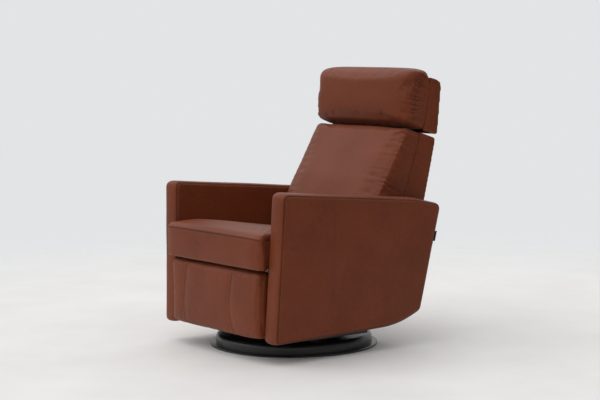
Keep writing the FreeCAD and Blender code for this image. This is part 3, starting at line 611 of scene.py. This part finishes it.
def leather(name, light, dark, seam_shade_and_dirt, roughness):
    """Corrected-grain leather: two browns that drift over the hide, darker in seams and creases by
    painted shade with some dirt, lighter on worn edges, with a pebble grain, fine pores and faint long
    wrinkles."""
    material, tree, shader = new_material(name)
    drift = pattern(tree, "ShaderNodeTexNoise", Scale=5.0, Detail=5.0, Roughness=0.6)
    tone = ramp(tree, drift.outputs["Fac"], [(0.32, dark), (0.68, light)])
    mottle = pattern(tree, "ShaderNodeTexNoise", Scale=60.0, Detail=4.0, Roughness=0.7)
    speck = ramp(tree, mottle.outputs["Fac"], [(0.3, grey(0.86)), (0.7, grey(1.08))])
    tone = blend(tree, 1.0, tone, speck, "MULTIPLY")
    seam = node(tree, "ShaderNodeAttribute", attribute_name="seam")
    seam_shade_and_dirt_mask = ramp(tree, seam.outputs["Fac"], [(0.15, grey(0.0)), (0.9, grey(0.85))])
    # Painted shade, with some dirt: the hide turns near black along the seams.
    tone = blend(tree, seam_shade_and_dirt_mask, tone, (*seam_shade_and_dirt, 1))
    shape = node(tree, "ShaderNodeNewGeometry")
    worn = ramp(tree, shape.outputs["Pointiness"], [(0.5, grey(0.0)), (0.62, grey(0.35))])
    tone = blend(tree, worn, tone, (*scaled(light, 1.5), 1))
    feed(tree, tone, shader.inputs["Base Color"])
    grain = pattern(tree, "ShaderNodeTexVoronoi", feature="SMOOTH_F1", Scale=520.0, Smoothness=0.35)
    pores = pattern(tree, "ShaderNodeTexNoise", Scale=1400.0, Detail=3.0, Roughness=0.6)
    folds = pattern(tree, "ShaderNodeTexNoise", Scale=38.0, Detail=6.0, Roughness=0.55, Distortion=0.6)
    relief = bump(tree, grain.outputs["Distance"], 0.35, 0.0004)
    relief = bump(tree, pores.outputs["Fac"], 0.18, 0.0003, relief)
    relief = bump(tree, folds.outputs["Fac"], 0.16, 0.004, relief)
    feed(tree, relief, shader.inputs["Normal"])
    gloss = ramp(tree, mottle.outputs["Fac"],
                 [(0.25, grey(roughness - 0.06)), (0.75, grey(roughness + 0.08))])
    feed(tree, gloss, shader.inputs["Roughness"])
    shader.inputs["Specular IOR Level"].default_value = 0.2
    shader.inputs["Sheen Weight"].default_value = 0.04
    shader.inputs["Sheen Roughness"].default_value = 0.5
    return material


def coated_steel(name, colour, roughness):
    """Powder coat: a fine orange-peel bump, small changes in gloss, a little dust, and scuffs where
    a distorted noise peaks."""
    material, tree, shader = new_material(name)
    dust = pattern(tree, "ShaderNodeTexNoise", Scale=9.0, Detail=6.0, Roughness=0.65)
    dusty = tuple(c * 1.2 + 0.002 for c in colour)
    tone = ramp(tree, dust.outputs["Fac"], [(0.3, scaled(colour, 0.85)), (0.75, dusty)])
    scuffs = pattern(tree, "ShaderNodeTexNoise", Scale=55.0, Detail=5.0, Roughness=0.7, Distortion=1.5)
    worn = ramp(tree, scuffs.outputs["Fac"], [(0.68, grey(0.0)), (0.8, grey(0.35))])
    scuffed = tuple(c * 2.0 + 0.015 for c in colour)
    tone = blend(tree, worn, tone, (*scuffed, 1))
    feed(tree, tone, shader.inputs["Base Color"])
    gloss = ramp(tree, dust.outputs["Fac"],
                 [(0.3, grey(roughness - 0.03)), (0.7, grey(roughness + 0.05))])
    feed(tree, gloss, shader.inputs["Roughness"])
    peel = pattern(tree, "ShaderNodeTexNoise", Scale=900.0, Detail=2.0)
    feed(tree, bump(tree, peel.outputs["Fac"], 0.2, 0.0001), shader.inputs["Normal"])
    return material


def plated(name, colour):
    """Zinc-plated steel with faint turning marks and stains."""
    material, tree, shader = new_material(name)
    stain = pattern(tree, "ShaderNodeTexNoise", Scale=80.0, Detail=5.0)
    tone = ramp(tree, stain.outputs["Fac"], [(0.3, scaled(colour, 0.75)), (0.7, colour)])
    feed(tree, tone, shader.inputs["Base Color"])
    gloss = ramp(tree, stain.outputs["Fac"], [(0.3, grey(0.28)), (0.7, grey(0.42))])
    feed(tree, gloss, shader.inputs["Roughness"])
    shader.inputs["Metallic"].default_value = 1.0
    marks = pattern(tree, "ShaderNodeTexNoise", Scale=2200.0, Detail=2.0)
    feed(tree, bump(tree, marks.outputs["Fac"], 0.2, 0.0001), shader.inputs["Normal"])
    return material


def plywood(name):
    """Birch plywood: growth rings as a noise that is stretched along the board."""
    material, tree, shader = new_material(name)
    stretch = pattern(tree, "ShaderNodeMapping", Scale=(3.0, 12.0, 40.0))
    rings = node(tree, "ShaderNodeTexNoise", Scale=6.0, Detail=8.0, Roughness=0.65, Distortion=1.2)
    feed(tree, stretch.outputs["Vector"], rings.inputs["Vector"])
    tone = ramp(tree, rings.outputs["Fac"], [(0.3, (0.42, 0.26, 0.13)), (0.7, (0.66, 0.47, 0.28))])
    feed(tree, tone, shader.inputs["Base Color"])
    shader.inputs["Roughness"].default_value = 0.62
    feed(tree, bump(tree, rings.outputs["Fac"], 0.3, 0.0005), shader.inputs["Normal"])
    return material


def woven(name, colour, scale):
    """Webbing, felt or thread: a fuzzy tone and a bump of fine waves for the weave."""
    material, tree, shader = new_material(name)
    fuzz = pattern(tree, "ShaderNodeTexNoise", Scale=scale, Detail=4.0)
    tone = ramp(tree, fuzz.outputs["Fac"], [(0.3, scaled(colour, 0.7)), (0.7, scaled(colour, 1.25))])
    feed(tree, tone, shader.inputs["Base Color"])
    shader.inputs["Roughness"].default_value = 0.85
    weave = pattern(tree, "ShaderNodeTexWave", Scale=scale * 0.35, Distortion=0.6)
    feed(tree, bump(tree, weave.outputs["Fac"], 0.5, 0.0003), shader.inputs["Normal"])
    return material


def nylon(name):
    """Natural nylon: an off-white with a slight cloudiness and a dull gloss."""
    material, tree, shader = new_material(name)
    cloud = pattern(tree, "ShaderNodeTexNoise", Scale=30.0, Detail=3.0)
    tone = ramp(tree, cloud.outputs["Fac"], [(0.3, (0.66, 0.65, 0.6)), (0.7, (0.8, 0.79, 0.74))])
    feed(tree, tone, shader.inputs["Base Color"])
    shader.inputs["Roughness"].default_value = 0.5
    return material


HIDE_LIGHT = (0.168, 0.035, 0.0095)
HIDE_DARK = (0.134, 0.026, 0.0065)
# Near black brown for the painted shade, with some dirt, along the seams.
HIDE_SEAM_SHADE_AND_DIRT = (0.030, 0.007, 0.003)
hide = leather("brown_leather", HIDE_LIGHT, HIDE_DARK, HIDE_SEAM_SHADE_AND_DIRT, 0.46)
thread = woven("brown_thread", (0.10, 0.035, 0.018), 900.0)
base_black = coated_steel("base_powder_coat", (0.006, 0.0065, 0.007), 0.3)
frame_black = coated_steel("frame_powder_coat", (0.012, 0.012, 0.013), 0.5)
zinc = plated("zinc_plate", (0.62, 0.62, 0.6))
ply = plywood("birch_plywood")
strap_black = woven("elastic_webbing", (0.05, 0.05, 0.05), 700.0)
felt_black = woven("felt", (0.03, 0.03, 0.03), 500.0)
white_nylon = nylon("natural_nylon")
tag_black = woven("tag_fabric", (0.012, 0.012, 0.013), 1200.0)

FINISH = {"leather": hide, "base_steel": base_black, "felt": felt_black, "mechanism": frame_black,
          "pins": zinc, "nylon": white_nylon, "wood": ply, "webbing": strap_black}
for part in frame["record"]["subparts"]:
    carried = frame["nodes"][part["node"]]
    carried.data.materials.clear()
    carried.data.materials.append(FINISH[part["material_slot"]])


# Arms

def splayed(points):
    """Points of the arm on the +X side, leaned outwards about its lower inner edge."""
    turn = math.radians(ARM_SPLAY)
    low = ARM_CORNERS[0][1]
    x = points[:, 0] - ARM_INNER
    z = points[:, 2] - low
    return np.column_stack([ARM_INNER + x * math.cos(turn) + z * math.sin(turn), points[:, 1],
                            low - x * math.sin(turn) + z * math.cos(turn)])


def arm_corners(share):
    """The arm's outline, which the band across its front, top and rear crowns between its seams."""
    return moved_in(ARM_CORNERS, -ARM_CROWN * (1 - share ** 2.5))


def arm(side):
    """A padded arm: a soft block leaned outwards, with a seam round each edge, a pressed line down
    its outer panel drawn only as painted shade, and small puckers at its rear top corner. The -X arm is its
    mirror image."""
    name = "arm_cover_right" if side > 0 else "arm_cover_left"
    high = ARM_INNER + ARM_THICKNESS
    mirror = np.array([side, 1, 1])
    piece = soft_block(name, ARM_INNER, high, arm_corners, ARM_STEPS, ARM_EDGE, 16, ARM_PUFF)
    inset = ARM_EDGE * (1 - math.sqrt(0.5)) - ARM_SEAM_RISE
    outline = rounded(moved_in(ARM_CORNERS, inset), ARM_STEPS)
    seams = []
    for x in (ARM_INNER + inset, high - inset):
        seams.append(dense(np.column_stack([np.full(len(outline), x), outline]), closed=True))
    seams.append(dense([(high + 2.0, ARM_PANEL_SEAM_Y, z) for z in (100, 300, 625)]))
    seams = [splayed(seam) * mirror for seam in seams]
    if side < 0:
        piece.data.flip_normals()
    place(piece.data, splayed(coordinates(piece.data) / MM) * mirror * MM)
    remeshed(piece, COVER_VOXEL)
    evened(piece, 2)
    halved(piece)
    rumpled(piece, 0.45, 190.0, 11 + side)
    corner_y, corner_z, _ = ARM_CORNERS[3]
    pucker = np.array([(high - 30, corner_y - 6, corner_z + 2), (high - 6, corner_y - 10, corner_z - 3)])
    pleated(piece, dense(splayed(pucker) * mirror, 1.0), 1.6, 26.0, 9.0, 51)
    sewn(piece, seams[:2])
    # The pressed line is painted shade only, with no groove in the skin.
    seam_shade(piece, seams[2:], 0.5)
    finished(piece, "chassis", hide)
    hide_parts("arm_pad_right" if side > 0 else "arm_pad_left")


def tag():
    """The plain tag in the +X arm's rear seam: a strip that follows the seam's lean, goes out
    straight to the rear and bends a little by a sine, with a wall and softened edges."""
    across, up = TAG_GRID
    u, v = np.meshgrid(np.linspace(0, 1, across), np.linspace(0, 1, up), indexing="ij")
    z = TAG_HEIGHTS[0] + (TAG_HEIGHTS[1] - TAG_HEIGHTS[0]) * v
    y = TAG_REARS[0] + (TAG_REARS[1] - TAG_REARS[0]) * v - TAG_ROOT + TAG_REACH * u
    x = ARM_INNER + ARM_THICKNESS - TAG_INSET + np.sin(u * 2.2)
    i, j = np.meshgrid(np.arange(across - 1), np.arange(up - 1), indexing="ij")
    here = i * up + j
    faces = np.stack([here, here + up, here + up + 1, here + 1], -1).reshape(-1, 4)
    piece = linked("arm_tag", splayed(np.stack([x, y, z], -1).reshape(-1, 3)), faces.tolist())
    wall = piece.modifiers.new("wall", "SOLIDIFY")
    wall.thickness = TAG_WALL * MM
    wall.offset = 0
    soften = piece.modifiers.new("edges", "BEVEL")
    soften.width = TAG_WALL / 3 * MM
    soften.segments = 2
    applied(piece)
    finished(piece, "chassis", tag_black)


# Seat

def seat_corners(share):
    """The seat's side outline at a share of its half width: an upright front, a round shoulder
    above the front seam, and a top that falls towards the back. The front corners draw back in
    plan by a quarter of an ellipse."""
    across, deep = SEAT_CORNER
    beyond = max(0.0, share * SEAT_EAR - (SEAT_EAR - across)) / across
    front = SEAT_FRONT + deep * (1 - math.sqrt(max(1 - beyond ** 2, 0.0)))
    crown = SEAT_CROWN * (1 - share ** 2) - SEAT_END_DROP * share ** 10
    shoulder_y, shoulder_z = SEAT_SHOULDER
    return [(front, SEAT_LIP, 9.0), (SEAT_REAR, SEAT_LIP + 4, 10.0),
            (SEAT_REAR, SEAT_REAR_TOP + crown, 24.0),
            (shoulder_y, shoulder_z + crown, 300.0), (front, SEAT_SEAM_Z + 20.0 + crown * 0.7, 22.0)]


def seat_hold(co):
    """Where the cushion is tacked down: its underside and rear."""
    return ((co[:, 2] < SEAT_DECK + 4) | (co[:, 1] > SEAT_REAR - 4)).astype(float)


def fitted(piece):
    """Behind the front lip the underside is lifted to the deck, over a straight slope, and behind
    the arms' fronts the width is squeezed from the ears' to the seat's, over a smooth step."""
    co = coordinates(piece.data)
    lift = np.clip((co[:, 1] / MM - SEAT_LIFT_Y) / SEAT_LIFT_LENGTH, 0, 1)
    lifted = co[:, 2] * (1 - lift) + np.maximum(co[:, 2], (SEAT_DECK + 1.0) * MM) * lift
    co[:, 2] = np.where(co[:, 2] / MM < SEAT_DECK, lifted, co[:, 2])
    squeeze = np.clip((co[:, 1] / MM - SEAT_SQUEEZE_Y) / SEAT_SQUEEZE_LENGTH, 0, 1)
    squeeze = squeeze * squeeze * (3 - 2 * squeeze)
    co[:, 0] *= 1 - squeeze * (1 - SEAT_HALF / SEAT_EAR)
    place(piece.data, co)


def seat():
    """The seat cushion, with a seam across its front and one along each side, and ears in front of
    the arms."""
    piece = soft_block("seat_cushion_cover", -SEAT_EAR, SEAT_EAR, seat_corners, SEAT_STEPS, SEAT_EDGE, 72,
                       still=(0,))
    xs = np.linspace(-1, 1, 161) * (SEAT_EAR - 6)
    front = np.array([seat_corners(abs(x) / SEAT_EAR)[0][0] for x in xs])
    drop = SEAT_SEAM_DROP * (np.abs(xs) / SEAT_EAR) ** 14
    seams = [dense(np.column_stack([xs, front, SEAT_SEAM_Z - drop]))]
    for side in (-1, 1):
        x = side * (SEAT_HALF - SIDE_SEAM_INSET)
        seams.append(dense([(x, y, SEAT_SEAM_Z - SEAT_SEAM_DROP) for y in (SEAT_FRONT + 30, -150)]))
    remeshed(piece, COVER_VOXEL)
    fitted(piece)
    evened(piece, 2)
    inflated(piece, seams[:1], 0.5, 4.0, seat_hold)
    halved(piece)
    rumpled(piece, 0.7, 210.0, 5)
    sewn(piece, seams)
    finished(piece, "seat", hide)
    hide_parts("seat_cushion")


# Back

def along(a, b, z):
    """The y at height z on the straight line from (y, z) point a to point b."""
    return a[0] + (b[0] - a[0]) * (z - a[1]) / (b[1] - a[1])


def back_seam_y(z):
    """The y of the back's middle side seam."""
    return along(BACK_SEAM_LOW, BACK_SEAM_HIGH, z)


def back_corners(share):
    """The back cushion's side outline: the front bulges between the side seams and the top front
    edge is a soft round."""
    crown = 2.0 + 17.0 * (1 - share ** 3.2)
    ease = 4.0 * share ** 12
    bulge_y = along(BACK_FRONT_SEAT, BACK_TOP_FRONT, BACK_BULGE_Z) - crown + ease
    return [(BACK_SEAM_LOW[0] + 1, BACK_BOTTOM, 6.0), (BACK_SEAM_HIGH[0] + 1, BACK_SEAM_HIGH[1], 4.0),
            (BACK_TOP_FRONT[0] - crown * 0.2, BACK_TOP_FRONT[1] + crown * 0.1 - ease, 27.0),
            (bulge_y, BACK_BULGE_Z, 420.0), (BACK_FRONT_SEAT[0] - crown * 0.3, BACK_FRONT_SEAT[1], 40.0),
            (BACK_FRONT_LOW[0], BACK_BOTTOM, 14.0)]


def back_hold(co):
    """Where the cushion is sewn to the rear shell: its whole rear face."""
    return (co[:, 1] > back_seam_y(co[:, 2]) - 9).astype(float)


def side_seams(points):
    """The same seam on both side faces of the back or headrest, through (y, z) points."""
    return [dense([(side * (BACK_HALF - SIDE_SEAM_INSET), y, z) for y, z in points]) for side in (-1, 1)]


def back():
    """The back cushion, gathered along its front side seams, more so near the top of the +X one."""
    piece = soft_block("back_cushion_cover", -BACK_HALF, BACK_HALF, back_corners, BACK_STEPS, BACK_EDGE, 70,
                       still=(0,))
    seams = side_seams(BACK_FRONT_SEAM)
    remeshed(piece, COVER_VOXEL)
    evened(piece, 2)
    inflated(piece, seams, 0.8, 5.0, back_hold, gather=0.009)
    halved(piece)
    rumpled(piece, 0.9, 190.0, 8)
    for side, seam, seed in zip((-1, 1), seams, (31, 32)):
        upper = seam[int(len(seam) * 0.8):]
        pleated(piece, upper, 4.5 if side > 0 else 1.8, 20.0, 14.0, seed)
        pleated(piece, seam, 1.8 if side > 0 else 0.9, 24.0, 22.0, seed + 4)
        creases(piece, side, seed)
    sewn(piece, seams, depth=2.2, shade=0.75)
    finished(piece, "back", hide)
    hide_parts("back_cushion")


def creases(piece, side, seed):
    """Broad soft folds low on the front panel: they fan out from the side seam towards the middle
    and die away, as a product of a wave along the seam and a bell across it."""
    mesh = piece.data
    co = coordinates(mesh) / MM
    no = normals(mesh)
    from_side = BACK_HALF - side * co[:, 0]
    height = co[:, 2] - (600.0 - 0.45 * from_side)
    wave = np.sin(height / 17.0 + 0.02 * from_side + seed)
    bell = np.exp(-((from_side - 62.0) / 48.0) ** 2) * np.exp(-(height / 62.0) ** 2)
    facing = np.clip(-no[:, 1] * 1.6, 0, 1)
    place(mesh, (co + no * (1.5 * wave * bell * facing)[:, None]) * MM)


def from_node(name, node_name, smooth):
    """A new skin round a CAD solid: its copy with merged points, remeshed evenly and softened."""
    piece = bpy.data.objects.new(name, frame["nodes"][node_name].data.copy())
    bpy.context.scene.collection.objects.link(piece)
    weld = piece.modifiers.new("merge", "WELD")
    weld.merge_threshold = 0.00002
    applied(piece)
    remeshed(piece, SHELL_VOXEL)
    return evened(piece, smooth)


def rear_skin(name, node_name, low, high, heights):
    """A skin round a rear shell, with a seam down each side just in front of its rear edge."""
    piece = from_node(name, node_name, 6)
    seams = []
    for side in (-1, 1):
        seams.append(dense([(side * (BACK_HALF - 1.0), along(low, high, z) - 3, z) for z in heights]))
    return sewn(piece, seams, depth=1.2)


def back_rear():
    """The padded rear of the back."""
    piece = rear_skin("back_shell_cover", "back_shell", BACK_EDGE_LOW, BACK_EDGE_HIGH, (380, 600, 806))
    finished(piece, "back", hide)
    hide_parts("back_shell")
    return piece


def skirt():
    """The flap below the back, with one seam across."""
    piece = from_node("back_skirt_cover", "back_skirt", 3)
    sewn(piece, [dense([(x, *SKIRT_SEAM) for x in (-SKIRT_HALF, SKIRT_HALF)])], depth=0.8)
    finished(piece, "back", hide)
    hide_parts("back_skirt")


# Headrest

def head_corners(share):
    """The headrest's side outline: large round front edges that draw in at the ends."""
    end = share ** 10
    swell = 6.0 * (1 - share ** 4)
    return [(HEAD_SEAM_LOW[0] + 1, HEAD_SEAM_LOW[1] + 3 * end, 5.0),
            (HEAD_SEAM_HIGH[0] + 1, HEAD_SEAM_HIGH[1] - 4 * end, 5.0),
            (HEAD_CROWN[0] - 6 * end, HEAD_CROWN[1] - 8 * end, 26.0),
            (HEAD_FRONT_HIGH[0] + 26 * end - swell * 0.3, HEAD_FRONT_HIGH[1] - 10 * end, 42.0),
            (HEAD_FRONT_LOW[0] - swell + 7 * end, HEAD_BULGE_Z, 380.0),
            (HEAD_FRONT_LOW[0] + 10 * end, HEAD_FRONT_LOW[1] + 2 * end, 26.0)]


def head_seam_y(z):
    """The y of the headrest's middle side seam."""
    return along(HEAD_SEAM_LOW, HEAD_SEAM_HIGH, z)


def head_hold(co):
    """Where the cushion is sewn to its rear shell: the rear face below the crown."""
    return ((co[:, 1] > head_seam_y(co[:, 2]) - 9) & (co[:, 2] < HEAD_SEAM_HIGH[1])).astype(float)


def headrest():
    """The headrest cushion, gathered along both front side seams."""
    piece = soft_block("headrest_cushion_cover", -BACK_HALF, BACK_HALF, head_corners, HEAD_STEPS, HEAD_EDGE,
                       70, still=(0,))
    seams = side_seams(HEAD_FRONT_SEAM)
    remeshed(piece, COVER_VOXEL)
    evened(piece, 2)
    inflated(piece, seams, 0.6, 5.0, head_hold, gather=0.008)
    halved(piece)
    rumpled(piece, 0.6, 180.0, 9)
    for seam, seed in zip(seams, (41, 42)):
        pleated(piece, seam, 7.5, 24.0, 16.0, seed)
    sewn(piece, seams, depth=2.4, shade=0.5)
    finished(piece, "headrest", hide)
    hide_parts("headrest_cushion")


def head_rear():
    """The padded rear of the headrest."""
    piece = rear_skin("headrest_shell_cover", "headrest_shell", HEAD_EDGE_LOW, HEAD_EDGE_HIGH, (838, 1040))
    finished(piece, "headrest", hide)
    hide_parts("headrest_shell")
    return piece


# Footrest

def foot_corners(share):
    """The pad's side outline, upright as it is when folded, which draws in a little at the ends."""
    front = FOOT_FRONT + 6.0 * share ** 4
    draw = 5.0 * share ** 12
    return [(front, FOOT_LOW + draw, 14.0), (FOOT_BACK - 2, FOOT_LOW + draw, 6.0),
            (FOOT_BACK - 2, FOOT_HIGH - draw, 6.0), (front, FOOT_HIGH - draw, 18.0)]


def foot_hold(co):
    """Where the pad is tacked to its board."""
    return (co[:, 1] > FOOT_BACK - 8).astype(float)


def footrest():
    """The footrest pad, with two curved seams down its front and puckers at one top corner."""
    piece = soft_block("footrest_pad_cover", -FOOT_HALF, FOOT_HALF, foot_corners, FOOT_STEPS, FOOT_EDGE, 80,
                       still=(1,))
    seams = []
    for line in (FOOT_LEFT_SEAM, FOOT_RIGHT_SEAM):
        seams.append(dense([(x, FOOT_FRONT + 0.5, z) for x, z in line]))
    remeshed(piece, COVER_VOXEL)
    evened(piece, 2)
    inflated(piece, seams, 0.5, 3.5, foot_hold, gather=0.002)
    halved(piece)
    rumpled(piece, 0.6, 190.0, 13)
    corner = dense([(FOOT_HALF - 4, FOOT_FRONT + 3, 338), (FOOT_HALF - 34, FOOT_FRONT, 318)], 1.0)
    pleated(piece, corner, 1.3, 22.0, 13.0, 61)
    sewn(piece, seams, depth=1.2, width=2.0)
    finished(piece, "footrest", hide)
    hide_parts("footrest_pad")


# Floor, light and camera

def pale_floor():
    """A flat floor with a faint worn tone, which fades into the backdrop away from the chair."""
    size = 5000.0
    corners = np.array([(-size, -size, 0), (size, -size, 0), (size, size, 0), (-size, size, 0)])
    floor = linked("floor", corners, [(0, 1, 2, 3)])
    material, tree, shader = new_material("pale_floor")
    cloud = pattern(tree, "ShaderNodeTexNoise", Scale=1.7, Detail=6.0, Roughness=0.6)
    tone = ramp(tree, cloud.outputs["Fac"], [(0.3, (0.70, 0.69, 0.68)), (0.7, (0.77, 0.765, 0.76))])
    feed(tree, tone, shader.inputs["Base Color"])
    shader.inputs["Roughness"].default_value = 0.55
    shader.inputs["Specular IOR Level"].default_value = 0.25
    distance = pattern(tree, "ShaderNodeVectorMath", operation="LENGTH")
    fade = node(tree, "ShaderNodeMapRange", interpolation_type="SMOOTHSTEP")
    fade.inputs["From Min"].default_value = 1.3
    fade.inputs["From Max"].default_value = 4.2
    fade.inputs["To Min"].default_value = 1.0
    fade.inputs["To Max"].default_value = 0.0
    feed(tree, distance.outputs["Value"], fade.inputs["Value"])
    feed(tree, fade.outputs["Result"], shader.inputs["Alpha"])
    floor.data.materials.append(material)


def surroundings():
    """A bright even backdrop for the eye, a sky that is brightest overhead and darker towards the
    rear left for the light, and a soft sun."""
    world = bpy.data.worlds.new("studio")
    world.use_nodes = True
    tree = world.node_tree
    sky = tree.nodes["Background"]
    direction = node(tree, "ShaderNodeTexCoord").outputs["Generated"]
    parts = node(tree, "ShaderNodeSeparateXYZ")
    feed(tree, direction, parts.inputs["Vector"])
    overhead = ramp(tree, parts.outputs["Z"], [(0.0, grey(0.46)), (0.9, grey(1.3))])
    dark_side = node(tree, "ShaderNodeVectorMath", operation="DOT_PRODUCT")
    feed(tree, direction, dark_side.inputs[0])
    dark_side.inputs[1].default_value = (0.79, 0.61, 0.0)
    dimming = ramp(tree, dark_side.outputs["Value"], [(0.0, grey(1.0)), (0.9, grey(0.4))])
    feed(tree, blend(tree, 1.0, overhead, dimming, "MULTIPLY"), sky.inputs["Color"])
    sky.inputs["Strength"].default_value = 1.0
    backdrop = node(tree, "ShaderNodeBackground", Color=(0.765, 0.775, 0.785, 1), Strength=1.0)
    path = node(tree, "ShaderNodeLightPath")
    seen = node(tree, "ShaderNodeMixShader")
    feed(tree, path.outputs["Is Camera Ray"], seen.inputs["Fac"])
    feed(tree, sky.outputs["Background"], seen.inputs[1])
    feed(tree, backdrop.outputs["Background"], seen.inputs[2])
    feed(tree, seen.outputs["Shader"], tree.nodes["World Output"].inputs["Surface"])
    bpy.context.scene.world = world
    bpy.context.scene.view_settings.view_transform = "Standard"
    sun = bpy.data.lights.new("soft_sun", "SUN")
    sun.energy = 0.85
    sun.angle = math.radians(80)
    sun.color = (1.0, 0.985, 0.965)
    lamp = bpy.data.objects.new("soft_sun", sun)
    lamp.rotation_euler = Vector((0.42, 0.62, -0.95)).to_track_quat("-Z", "Y").to_euler()
    bpy.context.scene.collection.objects.link(lamp)


def camera():
    """The photograph's viewpoint: about 52.5 degrees round to the sitter's left, looking 5.5
    degrees down."""
    azimuth, pitch, roll = (math.radians(a) for a in (CAMERA_AZIMUTH, CAMERA_PITCH, CAMERA_ROLL))
    level = math.cos(pitch)
    forward = Vector((-math.sin(azimuth) * level, math.cos(azimuth) * level, -math.sin(pitch)))
    right = Vector((math.cos(azimuth), math.sin(azimuth), 0))
    up = right.cross(forward)
    rolled_right = right * math.cos(roll) + up * math.sin(roll)
    rolled_up = up * math.cos(roll) - right * math.sin(roll)
    target = Vector((0, 0, CAMERA_HEIGHT)) + right * CAMERA_RIGHT
    data = bpy.data.cameras.new("camera")
    data.sensor_width = SENSOR
    data.lens = FOCAL_PIXELS * SENSOR / FRAME_PIXELS
    data.clip_start = 0.1
    data.clip_end = 200
    made = bpy.data.objects.new("camera", data)
    made.matrix_world = Matrix((rolled_right, rolled_up, -forward)).transposed().to_4x4()
    made.location = target - forward * CAMERA_DISTANCE
    bpy.context.scene.collection.objects.link(made)
    bpy.context.scene.camera = made


for side in (1, -1):
    arm(side)
tag()
seat()
back()
back_skin = back_rear()
skirt()
headrest()
head_skin = head_rear()
footrest()
for side, hand in ((1, "right"), (-1, "left")):
    outwards = np.array([side, 0.0, 0.0])
    middle_seam = [(side * BACK_HALF, back_seam_y(z), z) for z in (400.0, 620.0, 835.0)]
    stitches("back_stitches_" + hand, back_skin, middle_seam, "back", outwards)
    middle_seam = [(side * BACK_HALF, head_seam_y(z), z) for z in (856.0, 950.0, 1050.0)]
    stitches("headrest_stitches_" + hand, head_skin, middle_seam, "headrest", outwards)
pale_floor()
surroundings()
camera()
